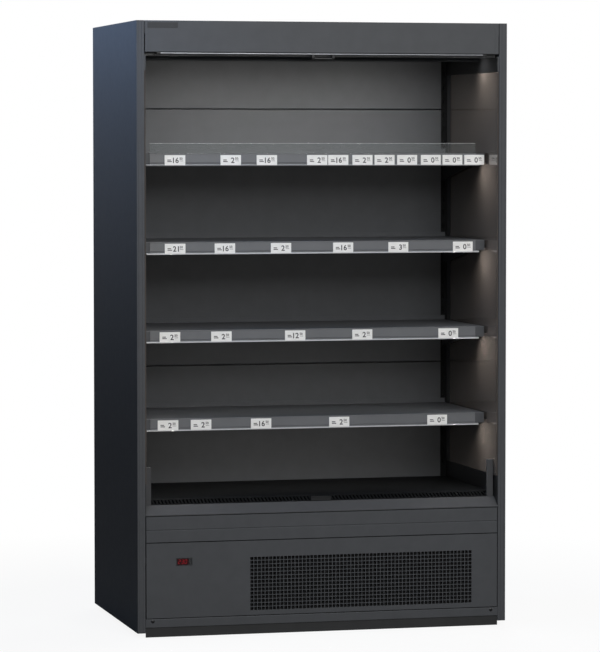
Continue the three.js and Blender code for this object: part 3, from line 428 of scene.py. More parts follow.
def drifting(name, colour, low, high, roughness, lump, **sockets):
    """A material whose colour drifts from low to high in lumps of that many millimetres."""
    material, tree, shader = finish_of(name, colour, roughness, **sockets)
    tree.links.new(tone(tree, noise(tree, lump), low, high), shader.inputs["Base Color"])
    return material, tree, shader


def powder_coat(name, low, high, roughness, shine=0.3):
    """Baked polyester powder on steel: an even satin skin with faint orange peel. The peel is
    really 1 to 2 mm across and is drawn at 5 mm so that it shows."""
    material, tree, shader = drifting(name, high, low, high, roughness, 40, Specular_IOR_Level=shine)
    rough = between(tree, noise(tree, 18), roughness - 0.015, roughness + 0.015)
    tree.links.new(rough, shader.inputs["Roughness"])
    relief(tree, shader, noise(tree, 5, detail=1.0), 0.02)
    return material


def moulded(name, low, high, roughness=0.42, grain=2.5):
    """Injection-moulded plastic: even colour, a soft sheen and the fine leather-like grain of the
    spark-eroded mould, drawn at 2.5 mm so that it shows."""
    material, tree, shader = drifting(name, high, low, high, roughness, 60, IOR=1.54)
    relief(tree, shader, noise(tree, grain, detail=3.0), 0.02)
    return material


def tinted_mirror():
    """Grey float glass over a dark backing: a clear reflection at a flat angle and a dim smoky
    field where the lights fall on it."""
    material, tree, shader = finish_of("grey_tinted_mirror_glass", "#534e4a", 0.09, IOR=1.6)
    smear = noise(tree, 90, stretch=(1, 1, 0.35))
    tree.links.new(between(tree, smear, 0.06, 0.13), shader.inputs["Roughness"])
    tree.links.new(tone(tree, smear, "#4e4945", "#57514d"), shader.inputs["Base Color"])
    return material


def strip_vinyl():
    """Extruded grey PVC: smoother and lighter than the paint, with lines along the extrusion."""
    material, tree, shader = drifting("extruded_grey_pvc", "#66686b", "#646669", "#686a6d", 0.42, 60)
    relief(tree, shader, noise(tree, 3, stretch=(0.01, 1, 1)), 0.02)
    return material


def opal_cover(name, strength):
    """Opal polycarbonate over a row of LEDs: an even milky glow, a little brighter over each
    chip, 16 mm apart."""
    material, tree, shader = finish_of(name, "#eceeee", 0.4, Emission_Strength=strength)
    place = add(tree, "TexCoord").outputs["Object"]
    along = add(tree, "SeparateXYZ", {0: place}).outputs["X"]
    phase = add(tree, "Math", {0: along, 1: 2 * math.pi / (16 * MM)}, operation="MULTIPLY").outputs[0]
    wave = add(tree, "Math", {0: phase}, operation="COSINE").outputs[0]
    share = add(tree, "MapRange", {"Value": wave, "From Min": -1.0, "From Max": 1.0}).outputs[0]
    glow = {0: share, 6: srgb("#e6e9ef"), 7: srgb("#fbfcff")}
    tree.links.new(add(tree, "Mix", glow, data_type="RGBA").outputs[2], shader.inputs["Emission Color"])
    return material


def clear_acrylic():
    """Cast acrylic: clear. The bright line on the riser's top edge is a pale strip, a painted highlight."""
    sockets = {"IOR": 1.49, "Transmission_Weight": 1.0, "Specular_IOR_Level": 0.2}
    material, tree, shader = finish_of("cast_clear_acrylic", "#f2f6f6", 0.03, **sockets)
    tree.links.new(between(tree, noise(tree, 70), 0.02, 0.06), shader.inputs["Roughness"])
    return material


def anodised(name, colour, roughness):
    """Anodised aluminium extrusion: a soft metal sheen with fine lines along its length. The
    lines are drawn 1.5 mm apart so that they show."""
    material, tree, shader = finish_of(name, colour, roughness, Metallic=1.0)
    lines = noise(tree, 1.5, stretch=(0.01, 1, 1), detail=1.0)
    tree.links.new(between(tree, lines, roughness - 0.06, roughness + 0.08), shader.inputs["Roughness"])
    relief(tree, shader, lines, 0.01)
    return material


def galvanised():
    """Hot-dip galvanised steel: dull grey zinc with spangle, crystals 10 mm across that each
    catch the light in their own way."""
    material, tree, shader = finish_of("hot_dip_galvanised_steel", "#8f9396", 0.45, Metallic=0.85)
    place = add(tree, "TexCoord").outputs["Object"]
    crystals = add(tree, "TexVoronoi", {"Vector": place, "Scale": 1 / (10 * MM)}).outputs["Color"]
    share = add(tree, "SeparateColor", {0: crystals}).outputs[0]
    colours = {0: share, 6: srgb("#83878a"), 7: srgb("#a1a5a8")}
    tree.links.new(add(tree, "Mix", colours, data_type="RGBA").outputs[2], shader.inputs["Base Color"])
    rough = add(tree, "MapRange", {"Value": share, "To Min": 0.36, "To Max": 0.58}).outputs[0]
    tree.links.new(rough, shader.inputs["Roughness"])
    return material


def woven_cloth():
    """Coated polyester of a night blind: a plain weave of flat yarns. The yarns are 0.8 mm apart
    and are drawn at 2 mm so that they show."""
    material, tree, shader = finish_of("coated_polyester_weave", "#94969a", 0.82, Sheen_Weight=0.25)
    place = add(tree, "TexCoord").outputs["Object"]
    yarns = {"Vector": place, "Scale": 1 / (2 * MM) / math.pi}
    warp = add(tree, "TexWave", yarns, bands_direction="X").outputs["Fac"]
    weft = add(tree, "TexWave", yarns, bands_direction="Z").outputs["Fac"]
    weave = add(tree, "Math", {0: warp, 1: weft}, operation="MULTIPLY").outputs[0]
    tree.links.new(tone(tree, weave, "#84868a", "#a0a2a6"), shader.inputs["Base Color"])
    relief(tree, shader, weave, 0.15)
    return material


def lit_digits():
    """Red LED segments behind a filter: they glow evenly."""
    material, tree, shader = finish_of("red_led_segments", "#5c0d14", 0.3, Emission_Strength=0.2)
    tree.links.new(tone(tree, noise(tree, 3), "#c8182a", "#e02a3c"), shader.inputs["Emission Color"])
    return material


PAINT = powder_coat("powder_coated_steel_graphite", "#4b4d50", "#4e5053", 0.5, 0.2)
# The nose has the front panels' graphite paint; this darker tone is painted shade.
NOSE_PAINTED_SHADE = powder_coat("graphite_paint_darkened_as_nose_shade", "#424345", "#454648", 0.55, 0.2)
# Real paint on most parts; on the galvanised base frame it is painted shade.
DARK_PAINT_AND_FRAME_SHADE = powder_coat("anthracite_paint_and_painted_frame_shade", "#2b2d2f", "#303234", 0.5)
# The plinth is part of the kick strip's folded plate; its darker tone is painted shade under the step.
PLINTH_PAINTED_SHADE = powder_coat("graphite_paint_darkened_as_plinth_shade", "#333435", "#363738", 0.5)
DECK_PAINT = powder_coat("powder_coated_steel_black", "#121314", "#161718", 0.6, 0.08)
BLACK_PAINT = powder_coat("powder_coated_steel_jet", "#0d0e0f", "#121314", 0.65, 0.12)
# Real enamel on the compressor; on the condenser it is painted shade of the dark bay.
BLACK_ENAMEL_AND_BAY_SHADE = powder_coat("baked_black_enamel_and_painted_bay_shade", "#141517", "#1b1c1f", 0.32)
# Real on the small black parts; on the side-wall sheets, the ceiling's sides and the outlet's ends it is
# painted shade.
BLACK = moulded("moulded_abs_black_and_painted_shade", "#131415", "#191a1c")
GREY = moulded("moulded_abs_mid_grey", "#505255", "#585a5d")
KEY_PLASTIC = moulded("moulded_abs_dark_grey", "#26282a", "#2d2f32", 0.5)
FAN_NYLON = moulded("glass_filled_nylon_black", "#1a1c1e", "#232528", 0.5, grain=4)
FILTER = moulded("red_filter_polycarbonate", "#2a0c0f", "#3a1013", 0.12, grain=20)  # smooth
# Pale plastic whose light tone is a painted highlight, on the lower shelves' lips and the riser's top edge.
PAINTED_HIGHLIGHT_PLASTIC = moulded("pale_plastic_painted_highlight", "#bfc1c3", "#c9cbcd", 0.35, grain=8)
FELT = moulded("needled_polyester_felt_black", "#0c0d0e", "#131415", 0.9, grain=3)  # dull, fluffy
MIRROR = tinted_mirror()
STRIP = strip_vinyl()
SHELF_GLOW = opal_cover("opal_polycarbonate_shelf_light", 4.0)
CANOPY_GLOW = opal_cover("opal_polycarbonate_canopy_light", 3.0)
ACRYLIC = clear_acrylic()
ALUMINIUM = anodised("anodised_aluminium", "#8e9094", 0.45)
LIP_METAL = anodised("anodised_aluminium_satin", "#a9acb0", 0.5)
DULL_METAL = anodised("anodised_aluminium_titanium_grey", "#515355", 0.55)
FIN_METAL = anodised("rolled_aluminium_fins", "#a4a7ab", 0.4)
ZINC = galvanised()
CLOTH = woven_cloth()
DIGITS = lit_digits()
# Copper pipe: bright metal that has dulled in patches.
COPPER, *_ = drifting("drawn_copper", "#b87352", "#8f5238", "#c67f5c", 0.32, 14, Metallic=1.0)
# Laminated card: clean white with a soft sheen. Thermal print: dark grey, slightly uneven.
CARD, *_ = drifting("laminated_white_card", "#f0f0ee", "#ececea", "#f4f4f2", 0.4, 25)
INK, *_ = drifting("thermal_print_ink", "#3a3a3d", "#2e2e31", "#48484c", 0.6, 4)


# ------------------------------------------------------------------ insulated shell

CORNER = 2.5  # radius of the end walls' front corners
FINE_LINES = (1 / 3, 3 / 4)  # places of the lines on an end wall's front, as shares of its width
FINE_LINE = 1.0  # their width
FINE_LINE_DEPTH = 0.8
# A screw's dome down to the drive recess: shares of its radius, and heights. Then its middle.
SCREW_DOME = ((1, 0), (1, 0.6), (0.8, 1.5), (0.45, 1.9), (0.38, 1.2))
SCREW_MIDDLE = (0.4, 1.1)
BACK_LINE = (3.0, 2.0)  # half the width, and the depth, of a pressed line in the back
RIVETS = 9  # along each upright edge of the back
RIVET_PLACE = (14.0, 40.0)  # from the back's side, and from its foot and head
RIVET = ((4, -0.2), (3.4, 0.8), (0.5, 1.2))  # profile: radius and height


def screw(x, y, z, radius, facing=-1):
    """A domed screw head on a wall that faces -Y or +Y."""
    dome = [(radius * share, height) for share, height in SCREW_DOME] + [SCREW_MIDDLE]
    return turned([(r, facing * height) for r, height in dome], (x, y, z), Y, steps=20)


def end_wall(side, sign):
    """The foamed end wall: its plan has rounded corners and two fine lines on the front edge."""
    low, high = limits("end_wall_" + side)
    inner, outer = (low[X], high[X]) if sign > 0 else (high[X], low[X])
    front, back, half = low[Y], high[Y], sign * FINE_LINE / 2
    corners, radii = [(inner, back), (inner, front)], [1.5, CORNER]
    for share in FINE_LINES:
        middle = inner + share * (outer - inner)
        corners += [(middle - half, front), (middle, front + FINE_LINE_DEPTH), (middle + half, front)]
        radii += [0, 0, 0]
    corners += [(outer, front), (outer, back)]
    wall = prism(rounded(corners, [*radii, CORNER, CORNER]), Z, low[Z], high[Z], 0.6)
    put(side + "_end_wall", "cabinet", [wall], PAINT, ["end_wall_" + side])


def back_and_roof():
    """The foamed back has three pressed lines upright in its sheet and rivets along its edges,
    and the roof is a plain foamed panel."""
    low, high = limits("back_panel")
    half, depth = BACK_LINE
    corners = [(low[X], high[Y]), (low[X], low[Y]), (high[X], low[Y]), (high[X], high[Y])]
    radii = [1.5, 1, 1, 1.5]
    for x in np.linspace(low[X], high[X], 5)[3:0:-1]:
        corners += [(x + half, high[Y]), (x, high[Y] - depth), (x - half, high[Y])]
        radii += [0, 0, 0]
    forms = [prism(rounded(corners, radii), Z, low[Z], high[Z], 0.6)]
    inset, margin = RIVET_PLACE
    for x in (low[X] + inset, high[X] - inset):
        for z in np.linspace(low[Z] + margin, high[Z] - margin, RIVETS):
            forms.append(turned(RIVET, (x, high[Y] - 1.2, z), Y, 16))
    put("foamed_back", "cabinet", forms, PAINT, ["back_panel"])
    low, high = limits("roof_panel")
    put("foamed_roof", "cabinet", [brick(low, high)], PAINT, ["roof_panel"])


# ------------------------------------------------------------------ front panels and nose

FASCIA_FOOT = 7.0  # depth of the fold under the fascia
END_BEAD = 2.4  # width of the raised line beside each end of the fascia
BEAD_INSET = 11.0  # its middle, from the fascia's end
BADGE = (100.0, 18.0)  # the bare plate on the fascia
BADGE_PLACE = (8.0, 6.0)  # from the fascia's left end and its top
PRESSED_LINE = (-2.5, 2.0, 1.8)  # its height from the panel's middle, half its width, its depth


def fascia():
    """The canopy's folded front, with a raised line beside each end and a bare badge plate."""
    low, high = limits("canopy_fascia")
    front, foot, head = low[Y] + SHEET / 2, low[Z] + SHEET / 2, high[Z] - SHEET / 2
    line = [(low[Y] + FASCIA_FOOT, foot), (front, foot), (front, head), (high[Y], head)]
    forms = [prism(folded(line), X, low[X], high[X])]
    for left, right in both_ends(high[X] - BEAD_INSET + END_BEAD / 2, END_BEAD):
        forms.append(brick((left, low[Y] - 0.5, low[Z] + 8), (right, low[Y] + 1, high[Z] - 14), 0.4))
    put("canopy_front", "cabinet", forms, PAINT, ["canopy_fascia"])
    left, top = low[X] + BADGE_PLACE[0], high[Z] - BADGE_PLACE[1]
    plan = rounded(rectangle(left, top - BADGE[1], left + BADGE[0], top), 2)
    badge = prism(plan, Y, low[Y] - 0.8, low[Y] + 0.5, 0.2)
    put("bare_badge_plate", "cabinet", [badge], DARK_PAINT_AND_FRAME_SHADE)


def front_panel():
    """The plain panel under the nose, with one pressed line along it."""
    low, high = limits("front_panel")
    lift, half, depth = PRESSED_LINE
    line = (low[Z] + high[Z]) / 2 + lift
    corners = [
        (low[Y], low[Z]), (high[Y], low[Z]), (high[Y], high[Z]), (low[Y], high[Z]),
        (low[Y], line + half), (low[Y] + depth, line), (low[Y], line - half),
    ]
    panel = prism(rounded(corners, [0.9, 0.3, 0.3, 0.9, 0.3, 0.3, 0.3]), X, low[X], high[X], 0.3)
    put("plain_front_panel", "cabinet", [panel], PAINT, ["front_panel"])


POST_WIDTH, POST_DEPTH = 22.0, 12.0
NOSE_FOOT = 2.2  # the sheet stands upright this far before it slopes
NOSE_BEND = 1.4  # radius of its folds
CATCH_THICK = 3.0


def nose():
    """The sheet slopes back from the front and folds down behind the lip, with a post at each
    end, and the blind's catch stands on the lip."""
    low, high = limits("nose_cap")
    lip = limits("blind_catch")[0][Z] - GAP
    behind = high[Y] - POST_DEPTH
    front, inner = low[Y] + SHEET / 2, behind + SHEET / 2
    line = [(front, low[Z]), (front, low[Z] + NOSE_FOOT), (inner, lip - SHEET / 2), (inner, low[Z])]
    forms = [prism(folded(line, bend=NOSE_BEND), X, low[X], high[X])]
    for left, right in both_ends(limits("mirror_right")[0][X] - GAP, POST_WIDTH):
        forms.append(brick((left, behind, lip - 6), (right, high[Y], high[Z]), 1.2))
    put("sloping_nose", "cabinet", forms, NOSE_PAINTED_SHADE, ["nose_cap"])
    low, high = limits("blind_catch")
    rear, head = high[Y] - CATCH_THICK / 2, high[Z] - CATCH_THICK / 2
    line = [(low[Y] + 0.4, head), (rear, head), (rear, low[Z])]
    hook = prism(folded(line, CATCH_THICK), X, low[X], high[X], 0.6)
    put("night_blind_catch", "cabinet", [hook], BLACK, ["blind_catch"])


GRILLE_CELLS = (60, 14)
GRILLE_FIELD = (-250.0, 78.0, 508.0, 255.0)  # left, low, right and high edge
GRILLE_SHARE = 0.42  # half a hole, as a share of the pitch
GRILLE_NICK = 1.2  # the cut at a hole's corner
GRILLE_MARGIN = 60.0  # from the field to the seam of the faces on its left
FILTER_GAP, FILTER_DEPTH = 2.0, 6.0  # behind the panel's sheet, and from fold to fold
FELT_THICK, PLEAT = 1.2, 9.5  # thickness of the sheet, and the pitch of its folds


def service_panel():
    """The panel's face is a sheet with a field of near-square holes and the controller's window.
    Beside the field one many-sided face takes up the ends of its grid lines."""
    low, high = limits("service_panel")
    left, foot, right, head = GRILLE_FIELD
    lines_x = np.linspace(left, right, GRILLE_CELLS[0] + 1)
    lines_z = np.linspace(foot, head, GRILLE_CELLS[1] + 1)
    half_x, half_z = ((lines[1] - lines[0]) * GRILLE_SHARE for lines in (lines_x, lines_z))
    window_low, window_high = limits("controller")
    upright = [low[X], window_low[X] - GAP, window_high[X] + GAP, left - GRILLE_MARGIN]
    level = [low[Z], window_low[Z] - GAP, window_high[Z] + GAP, high[Z]]
    stack = [low[Z], *lines_z, high[Z]]
    beside = [(left, z) for z in stack] + [(upright[-1], z) for z in level[::-1]]
    end = [(high[X], low[Z]), (high[X], high[Z])] + [(right, z) for z in stack[::-1]]
    groups = [
        *holed(lines_x, lines_z, half_x, half_z, GRILLE_NICK),
        plain(lines_x, [low[Z], foot]), plain(lines_x, [head, high[Z]]),
        plain(upright, level, skip=[(1, 1)]), np.array([beside]), np.array([end]),
    ]
    face = pierced(groups, Y, low[Y], low[Y] + SHEET)
    rim = [(low[Y] + 1.2, low[Z] + SHEET / 2), (high[Y], low[Z] + SHEET / 2)]
    fold = prism(folded(rim), X, low[X], high[X])
    put("pierced_service_panel", "cabinet", [face, fold], PAINT, ["service_panel"])


def dust_filter():
    """The pleated black filter behind the grille: a zigzag sheet."""
    left, foot, right, head = GRILLE_FIELD
    front = limits("service_panel")[0][Y] + SHEET + FILTER_GAP
    folds = np.arange(left - 6, right + 6, PLEAT / 2)
    depth = np.where(np.arange(len(folds)) % 2, FILTER_DEPTH, 0.0)
    near = np.stack([folds, front + depth], axis=1)
    sheet = prism(np.concatenate([near, (near + (0, FELT_THICK))[::-1]]), Z, foot - 2, head + 2)
    put("pleated_dust_filter", "cabinet", [sheet], FELT)


KICK_FOOT = 32.0  # lower edge of the kick strip
KICK_STEP = 3.0  # the plinth stands this far behind it
KICK_BEND = 1.5  # radius of its folds
SCREW_INSET, SCREW_HEIGHT, SCREW_RADIUS = 21.0, 53.0, 6.0


def kick():
    """The kick strip in the front plane, and the plinth that steps back under it. Both reach the
    end walls."""
    low, high = limits("kick_plate")
    reach = limits("base_frame")[1][X]
    front, back = low[Y] + SHEET / 2, low[Y] + KICK_STEP + SHEET / 2
    head, foot = high[Z] - SHEET / 2, KICK_FOOT + SHEET / 2
    line = [(high[Y], head), (front, head), (front, foot), (back + SHEET, foot)]
    strip = prism(folded(line, bend=KICK_BEND), X, -reach, reach)
    put("kick_strip", "cabinet", [strip], PAINT, ["kick_plate"])
    toe = rectangle(back - SHEET / 2, low[Z], back + SHEET / 2, KICK_FOOT - 0.1)
    # Its darker paint is painted shade under the kick strip.
    put("plinth", "cabinet", [prism(toe, X, -reach, reach, 0.3)], PLINTH_PAINTED_SHADE)
    inset = high[X] - SCREW_INSET
    screws = [screw(x, low[Y] + 0.2, SCREW_HEIGHT, SCREW_RADIUS) for x in (-inset, inset)]
    put("kick_strip_screws", "cabinet", screws, BLACK)


SEGMENTS = {"0": "abcdef", "2": "abged", "3": "abgcd"}
DIGIT = (8.0, 14.0)  # width and height of a lit figure
DIGIT_START, DIGIT_PITCH = 6.0, 10.5
DIGIT_SLANT = 0.12  # to the right for each millimetre up
RIM = 2.0  # width of the controller's rim


def digit(figure, x, z):
    """A seven-segment figure: each lit segment is a thin six-sided bar."""
    width, height = DIGIT
    thick = width * 0.2
    tip, across, up = thick / 2, width - thick, (height - thick) / 2
    places = {
        "a": (0, 2 * up, 0), "g": (0, up, 0), "d": (0, 0, 0),
        "f": (0, up, 1), "e": (0, 0, 1), "b": (across, up, 1), "c": (across, 0, 1),
    }
    bars = []
    for right, above, upright in (places[name] for name in SEGMENTS[figure]):
        length = up if upright else across
        end = length - tip
        bar = np.array([(0.3, 0), (tip, tip), (end, tip), (length - 0.3, 0), (end, -tip), (tip, -tip)])
        bar = bar[:, ::-1] if upright else bar
        slant = DIGIT_SLANT * (bar[:, 1] + above)
        bars.append(np.stack([bar[:, 0] + x + right + slant, bar[:, 1] + z + above + tip], axis=1))
    return bars


def controller():
    """A case whose rim stands round a sunk red filter with lit figures, and two keys with small
    arrow marks."""
    low, high = limits("controller")
    outer = rounded(rectangle(low[X], low[Z], high[X], high[Z]), 1.5)
    inner = rounded(rectangle(low[X] + RIM, low[Z] + RIM, high[X] - RIM, high[Z] - RIM), 1.0)
    rings = ((outer, 1.5), (outer, -0.3), (drawn_in(outer, 0.4), -0.7), (inner, -0.7), (inner, 1.5))
    rim = stacked([(plan, low[Y] + depth) for plan, depth in rings], Y, over=True)
    case = brick((low[X], low[Y] + 1.0, low[Z]), high, 0.8)
    put("controller_case", "cabinet", [case, rim], KEY_PLASTIC, ["controller"])
    keys = limits("controller_key_down")[0][X]
    edge = RIM + 0.1
    start = (low[X] + edge, low[Y] + 0.2, low[Z] + edge)
    lens = brick(start, (keys - 1.2, low[Y] + 1.4, high[Z] - edge), 0.3)
    put("controller_lens", "cabinet", [lens], FILTER)
    forms = []
    for i, figure in enumerate("230"):
        x = low[X] + DIGIT_START + i * DIGIT_PITCH
        for bar in digit(figure, x, (low[Z] + high[Z] - DIGIT[1]) / 2):
            forms.append(prism(bar, Y, low[Y] - 0.05, low[Y] + 0.4))
    put("controller_figures", "cabinet", forms, DIGITS)
    for key, up in (("key_down", -1), ("key_up", 1)):
        low, high = limits("controller_" + key)
        put(key + "_cap", key, [brick(low, high, 0.7)], BLACK, ["controller_" + key])
        arrow = np.array([(-1.6, -up * 1.1), (1.6, -up * 1.1), (0, up * 1.4)])
        mark = prism(arrow + ((low + high) / 2)[[X, Z]], Y, low[Y] - 0.12, low[Y] + 0.2)
        put(key + "_mark", key, [mark], STRIP)


# ------------------------------------------------------------------ chilled space


def duct_panels():
    """Three folded panels in front of the air duct, each with its edges turned back."""
    for level in ("lower", "middle", "upper"):
        node = "duct_panel_" + level
        low, high = limits(node)
        front, foot, head = low[Y] + SHEET / 2, low[Z] + SHEET / 2, high[Z] - SHEET / 2
        line = [(high[Y], foot), (front, foot), (front, head), (high[Y], head)]
        sheet = prism(folded(line), X, low[X], high[X])
        put(level + "_duct_panel", "cabinet", [sheet], PAINT, [node])


def mirrors():
    """Glass with ground edges on both side walls."""
    for side, _ in SIDES:
        node = "mirror_" + side
        glass = brick(*limits(node))
        put(side + "_mirror_glass", "cabinet", [glass], MIRROR, [node])


WALL_SHADE_THICK = 2.2  # thickness of the black sheet under each mirror, painted shade
WALL_SHADE_REACH = 50.0  # how far it goes on behind the nose


def wall_shade_sheets():
    """A black sheet on both side walls between the nose and the mirror, painted shade: its foot follows the
    sloping nose."""
    nose_low, nose_high = limits("nose_cap")
    lip = limits("blind_catch")[0][Z]
    for side, sign in SIDES:
        low, high = limits("mirror_" + side)
        wall = limits("end_wall_" + side)[0 if sign > 0 else 1][X]
        ends = sorted((wall - sign * GAP, wall - sign * (GAP + WALL_SHADE_THICK)))
        rear, head = high[Y] + WALL_SHADE_REACH, low[Z] - GAP
        corners = [
            (low[Y], nose_low[Z] + 8), (nose_high[Y] - POST_DEPTH, lip + 2), (rear, lip + 2),
            (rear, head), (low[Y], head),
        ]
        put(side + "_painted_wall_shade", "cabinet", [prism(corners, X, *ends, 0.3)], BLACK)


DECK_LIP = 20.0  # height of the pan's front lip
RETURN_PITCH, RETURN_SLOT = 12.0, 6.0  # from slot to slot, and a slot's width
RETURN_RIM = 6.0  # from a slot's end to the grille's edge
SLOT_NICK = 2.0


def deck():
    """The deck pan with its front lip, and the pierced return air grille that slopes to it."""
    low, high = limits("deck_pan")
    top, front = high[Z] - SHEET / 2, low[Y] + SHEET / 2
    line = [(front, high[Z] - DECK_LIP), (front, top), (high[Y], top)]
    pan = prism(folded(line), X, low[X], high[X])
    put("folded_deck_pan", "deck_board", [pan], DECK_PAINT, ["deck_pan"])

    low, high = limits("return_grille")
    run, rise = high[Y] - low[Y], high[Z] - low[Z]
    angle = math.atan2(rise - SHEET, run)
    length = run / math.cos(angle) - SHEET * math.sin(angle)
    lines_x = np.linspace(low[X], high[X], int((high[X] - low[X]) / RETURN_PITCH) + 1)
    groups = holed(lines_x, np.array([0.0, length]), RETURN_SLOT / 2, length / 2 - RETURN_RIM, SLOT_NICK)
    foot = (0, low[Y] + SHEET * math.sin(angle), low[Z] + SHEET * math.cos(angle))
    grille = leant(pierced(groups, Z, -SHEET, 0), angle, foot)
    put("slotted_return_grille", "intake_grille", [grille], BLACK_PAINT, ["return_grille"])


# ------------------------------------------------------------------ shelves

LIP_LEDGE = 12.0  # the fold that turns back under the front lip
SHELF_LIP, SHELF_FLANGE = 35.0, 25.0  # heights of the front lip and of the flanges
CARD_SIZE, CARD_THICK = (69.0, 33.0), 0.6
CARD_DROP = 3.0  # a card's foot below its strip's
FIGURE, SMALL_FIGURE = 18.0, 8.0  # heights of the printed figures
FIGURE_END = 47.0  # right end of the figure, from the card's left
PRINT_RISE, PRINT_DEPTH = 0.12, 0.2  # how far the print stands off the card, and is thick
PRINTED_BARS = ((10.5, 15), (15.5, 12))  # height over the card's foot, and length
BAR_HEIGHT = 2.8
LIP_THICK = 1.5  # the lip in front of a shelf light
COVER_WALL = 2.4  # between a shelf light's top and its opal cover
# Each card's middle along its strip, and the figure on it.
CARDS = {
    1: [(-472, "16"), (-285, "2"), (-163, "16"), (8, "2"), (80, "16"), (163, "2"),
        (239, "2"), (317, "0"), (399, "0"), (474, "0"), (550, "0")],
    2: [(-472, "21"), (-305, "16"), (-115, "2"), (97, "16"), (287, "3"), (511, "0")],
    3: [(-490, "2"), (-317, "2"), (-67, "12"), (163, "2"), (461, "0")],
    4: [(-497, "2"), (-386, "2"), (-183, "16"), (84, "2"), (423, "0")],
}


def shelf_tray(number):
    """A folded tray: ledge, front lip, top and backstop in one line, and a flange at each end."""
    low, high = limits(f"shelf_{number}")
    level = limits(f"ticket_strip_{number}")[1][Z]
    front, top, rear = low[Y] + SHEET / 2, level - SHEET / 2, high[Y] - SHEET / 2
    foot = level - SHELF_LIP + SHEET / 2
    line = [(low[Y] + LIP_LEDGE, foot), (front, foot), (front, top), (rear, top), (rear, high[Z])]
    side = rectangle(low[Y] + 1.2, level - SHELF_FLANGE, high[Y] - 0.2, level - 1)
    side = rounded(side, [1.5, 8, 1, 1])
    forms = [prism(folded(line), X, low[X], high[X])]
    forms += [prism(side, X, *ends, 0.3) for ends in both_ends(high[X], SHEET)]
    put(f"shelf_{number}_tray", f"shelf_unit_{number}", forms, PAINT, [f"shelf_{number}"])


def ticket_strip(number):
    """The strip's outline: a small lip over the cards, their flat seat, a groove and a round
    bead along the foot."""
    node = f"ticket_strip_{number}"
    low, high = limits(node)
    y, top, foot = low[Y], high[Z], low[Z]
    corners = [
        (high[Y], top), (y, top), (y, top - 2.5), (y + 0.7, top - 3.1), (y + 0.7, foot + 6.5),
        (y, foot + 5.9), (y, foot + 5.5), (y + 1.9, foot + 4.2), (y, foot + 2.9), (y, foot),
        (high[Y], foot),
    ]
    radii = [0.3, 0.6, 0.3, 0.2, 0.2, 0.3, 0.2, 0.2, 0.2, 0.9, 0.3]
    strip = prism(rounded(corners, radii, steps=3), X, low[X], high[X], 0.2)
    put(f"strip_{number}", f"shelf_unit_{number}", [strip], STRIP, [node])


def laid(form, x, front, z):
    """A flat figure stood up on a card's face."""
    points, groups = form
    behind = PRINT_DEPTH * points[:, Z] / max(np.ptp(points[:, Z]), 1e-6)
    stood = [points[:, X] + x, front - PRINT_RISE + behind, points[:, Y] + z]
    return outward(np.stack(stood, axis=1), groups)


def printed_bar(front, left, foot, length, height):
    """A bar printed on a card's face."""
    low, high = (left, front - PRINT_RISE, foot), (left + length, front + 0.1, foot + height)
    return brick(low, high, 0.04)


def price_cards(number):
    """White cards clipped in the strip. Each shows a figure, smaller figures raised beside it
    over a fine line, and two short grey bars."""
    low, _ = limits(f"ticket_strip_{number}")
    front, foot = low[Y] - CARD_THICK, low[Z] - CARD_DROP
    width, height = CARD_SIZE
    cards, prints = [], []
    for middle, text in CARDS[number]:
        left = middle - width / 2
        plan = rounded(rectangle(left, foot, left + width, foot + height), 1.2, steps=3)
        cards.append(prism(plan, Y, front, low[Y] + 0.9, 0.1))
        figure = figures(text, FIGURE)
        prints.append(laid(figure, left + FIGURE_END - np.ptp(figure[0][:, X]), front, foot + 7))
        prints.append(laid(figures("50", SMALL_FIGURE), left + 49.5, front, foot + 17.5))
        prints.append(printed_bar(front, left + 50, foot + 13.4, 12, 1.2))
        prints += [printed_bar(front, left + 9, foot + lift, long, BAR_HEIGHT) for lift, long in PRINTED_BARS]
    body = f"shelf_unit_{number}"
    put(f"price_cards_{number}", body, cards, CARD)
    put(f"price_print_{number}", body, prints, INK)


def shelf_light(number):
    """An aluminium channel under the strip with an opal cover that looks down and back, and a lip in front of
    it. The lips are pale, a painted highlight, and the top shelf's is grey, painted shade."""
    node, body = f"shelf_light_{number}", f"shelf_unit_{number}"
    low, high = limits(node)
    front, rear, head = low[Y] + LIP_THICK + 0.1, high[Y] - 2, high[Z] - 1.4
    base = [
        (front, high[Z]), (front, head), (rear, head), (rear, low[Z] + 2),
        (high[Y], low[Z] + 2), (high[Y], high[Z]),
    ]
    channel = prism(base, X, low[X], high[X], 0.2)
    put(f"light_channel_{number}", body, [channel], LIP_METAL, [node])
    put(f"light_cover_{number}", body, [wedge(low, high, COVER_WALL)], SHELF_GLOW)
    edge = rectangle(low[Y], low[Z], low[Y] + LIP_THICK, high[Z] - 2)
    lip = prism(rounded(edge, 0.5, 3), X, low[X], high[X], 0.3)
    # The lower lips' pale tone is a painted highlight and the top lip's grey is painted shade.
    put(f"light_lip_{number}", body, [lip], STRIP if number == 1 else PAINTED_HIGHLIGHT_PLASTIC)


def wedge(low, high, wall):
    """An opal cover behind a light's front lip: a three-sided bar whose long face looks down and
    back at 45 degrees, bulging by a tenth."""
    front, head = low[Y] + LIP_THICK + 0.2, high[Z] - wall - 0.1
    drop = head - low[Z] - 0.2
    share = np.linspace(0, 1, 7)
    bulge = 0.1 * drop * np.sin(math.pi * share)
    face = np.stack([front + drop * share + bulge, head - drop * (1 - share) - bulge], axis=1)
    return prism(np.concatenate([face, [(front, head)]]), X, low[X] + 3, high[X] - 3)


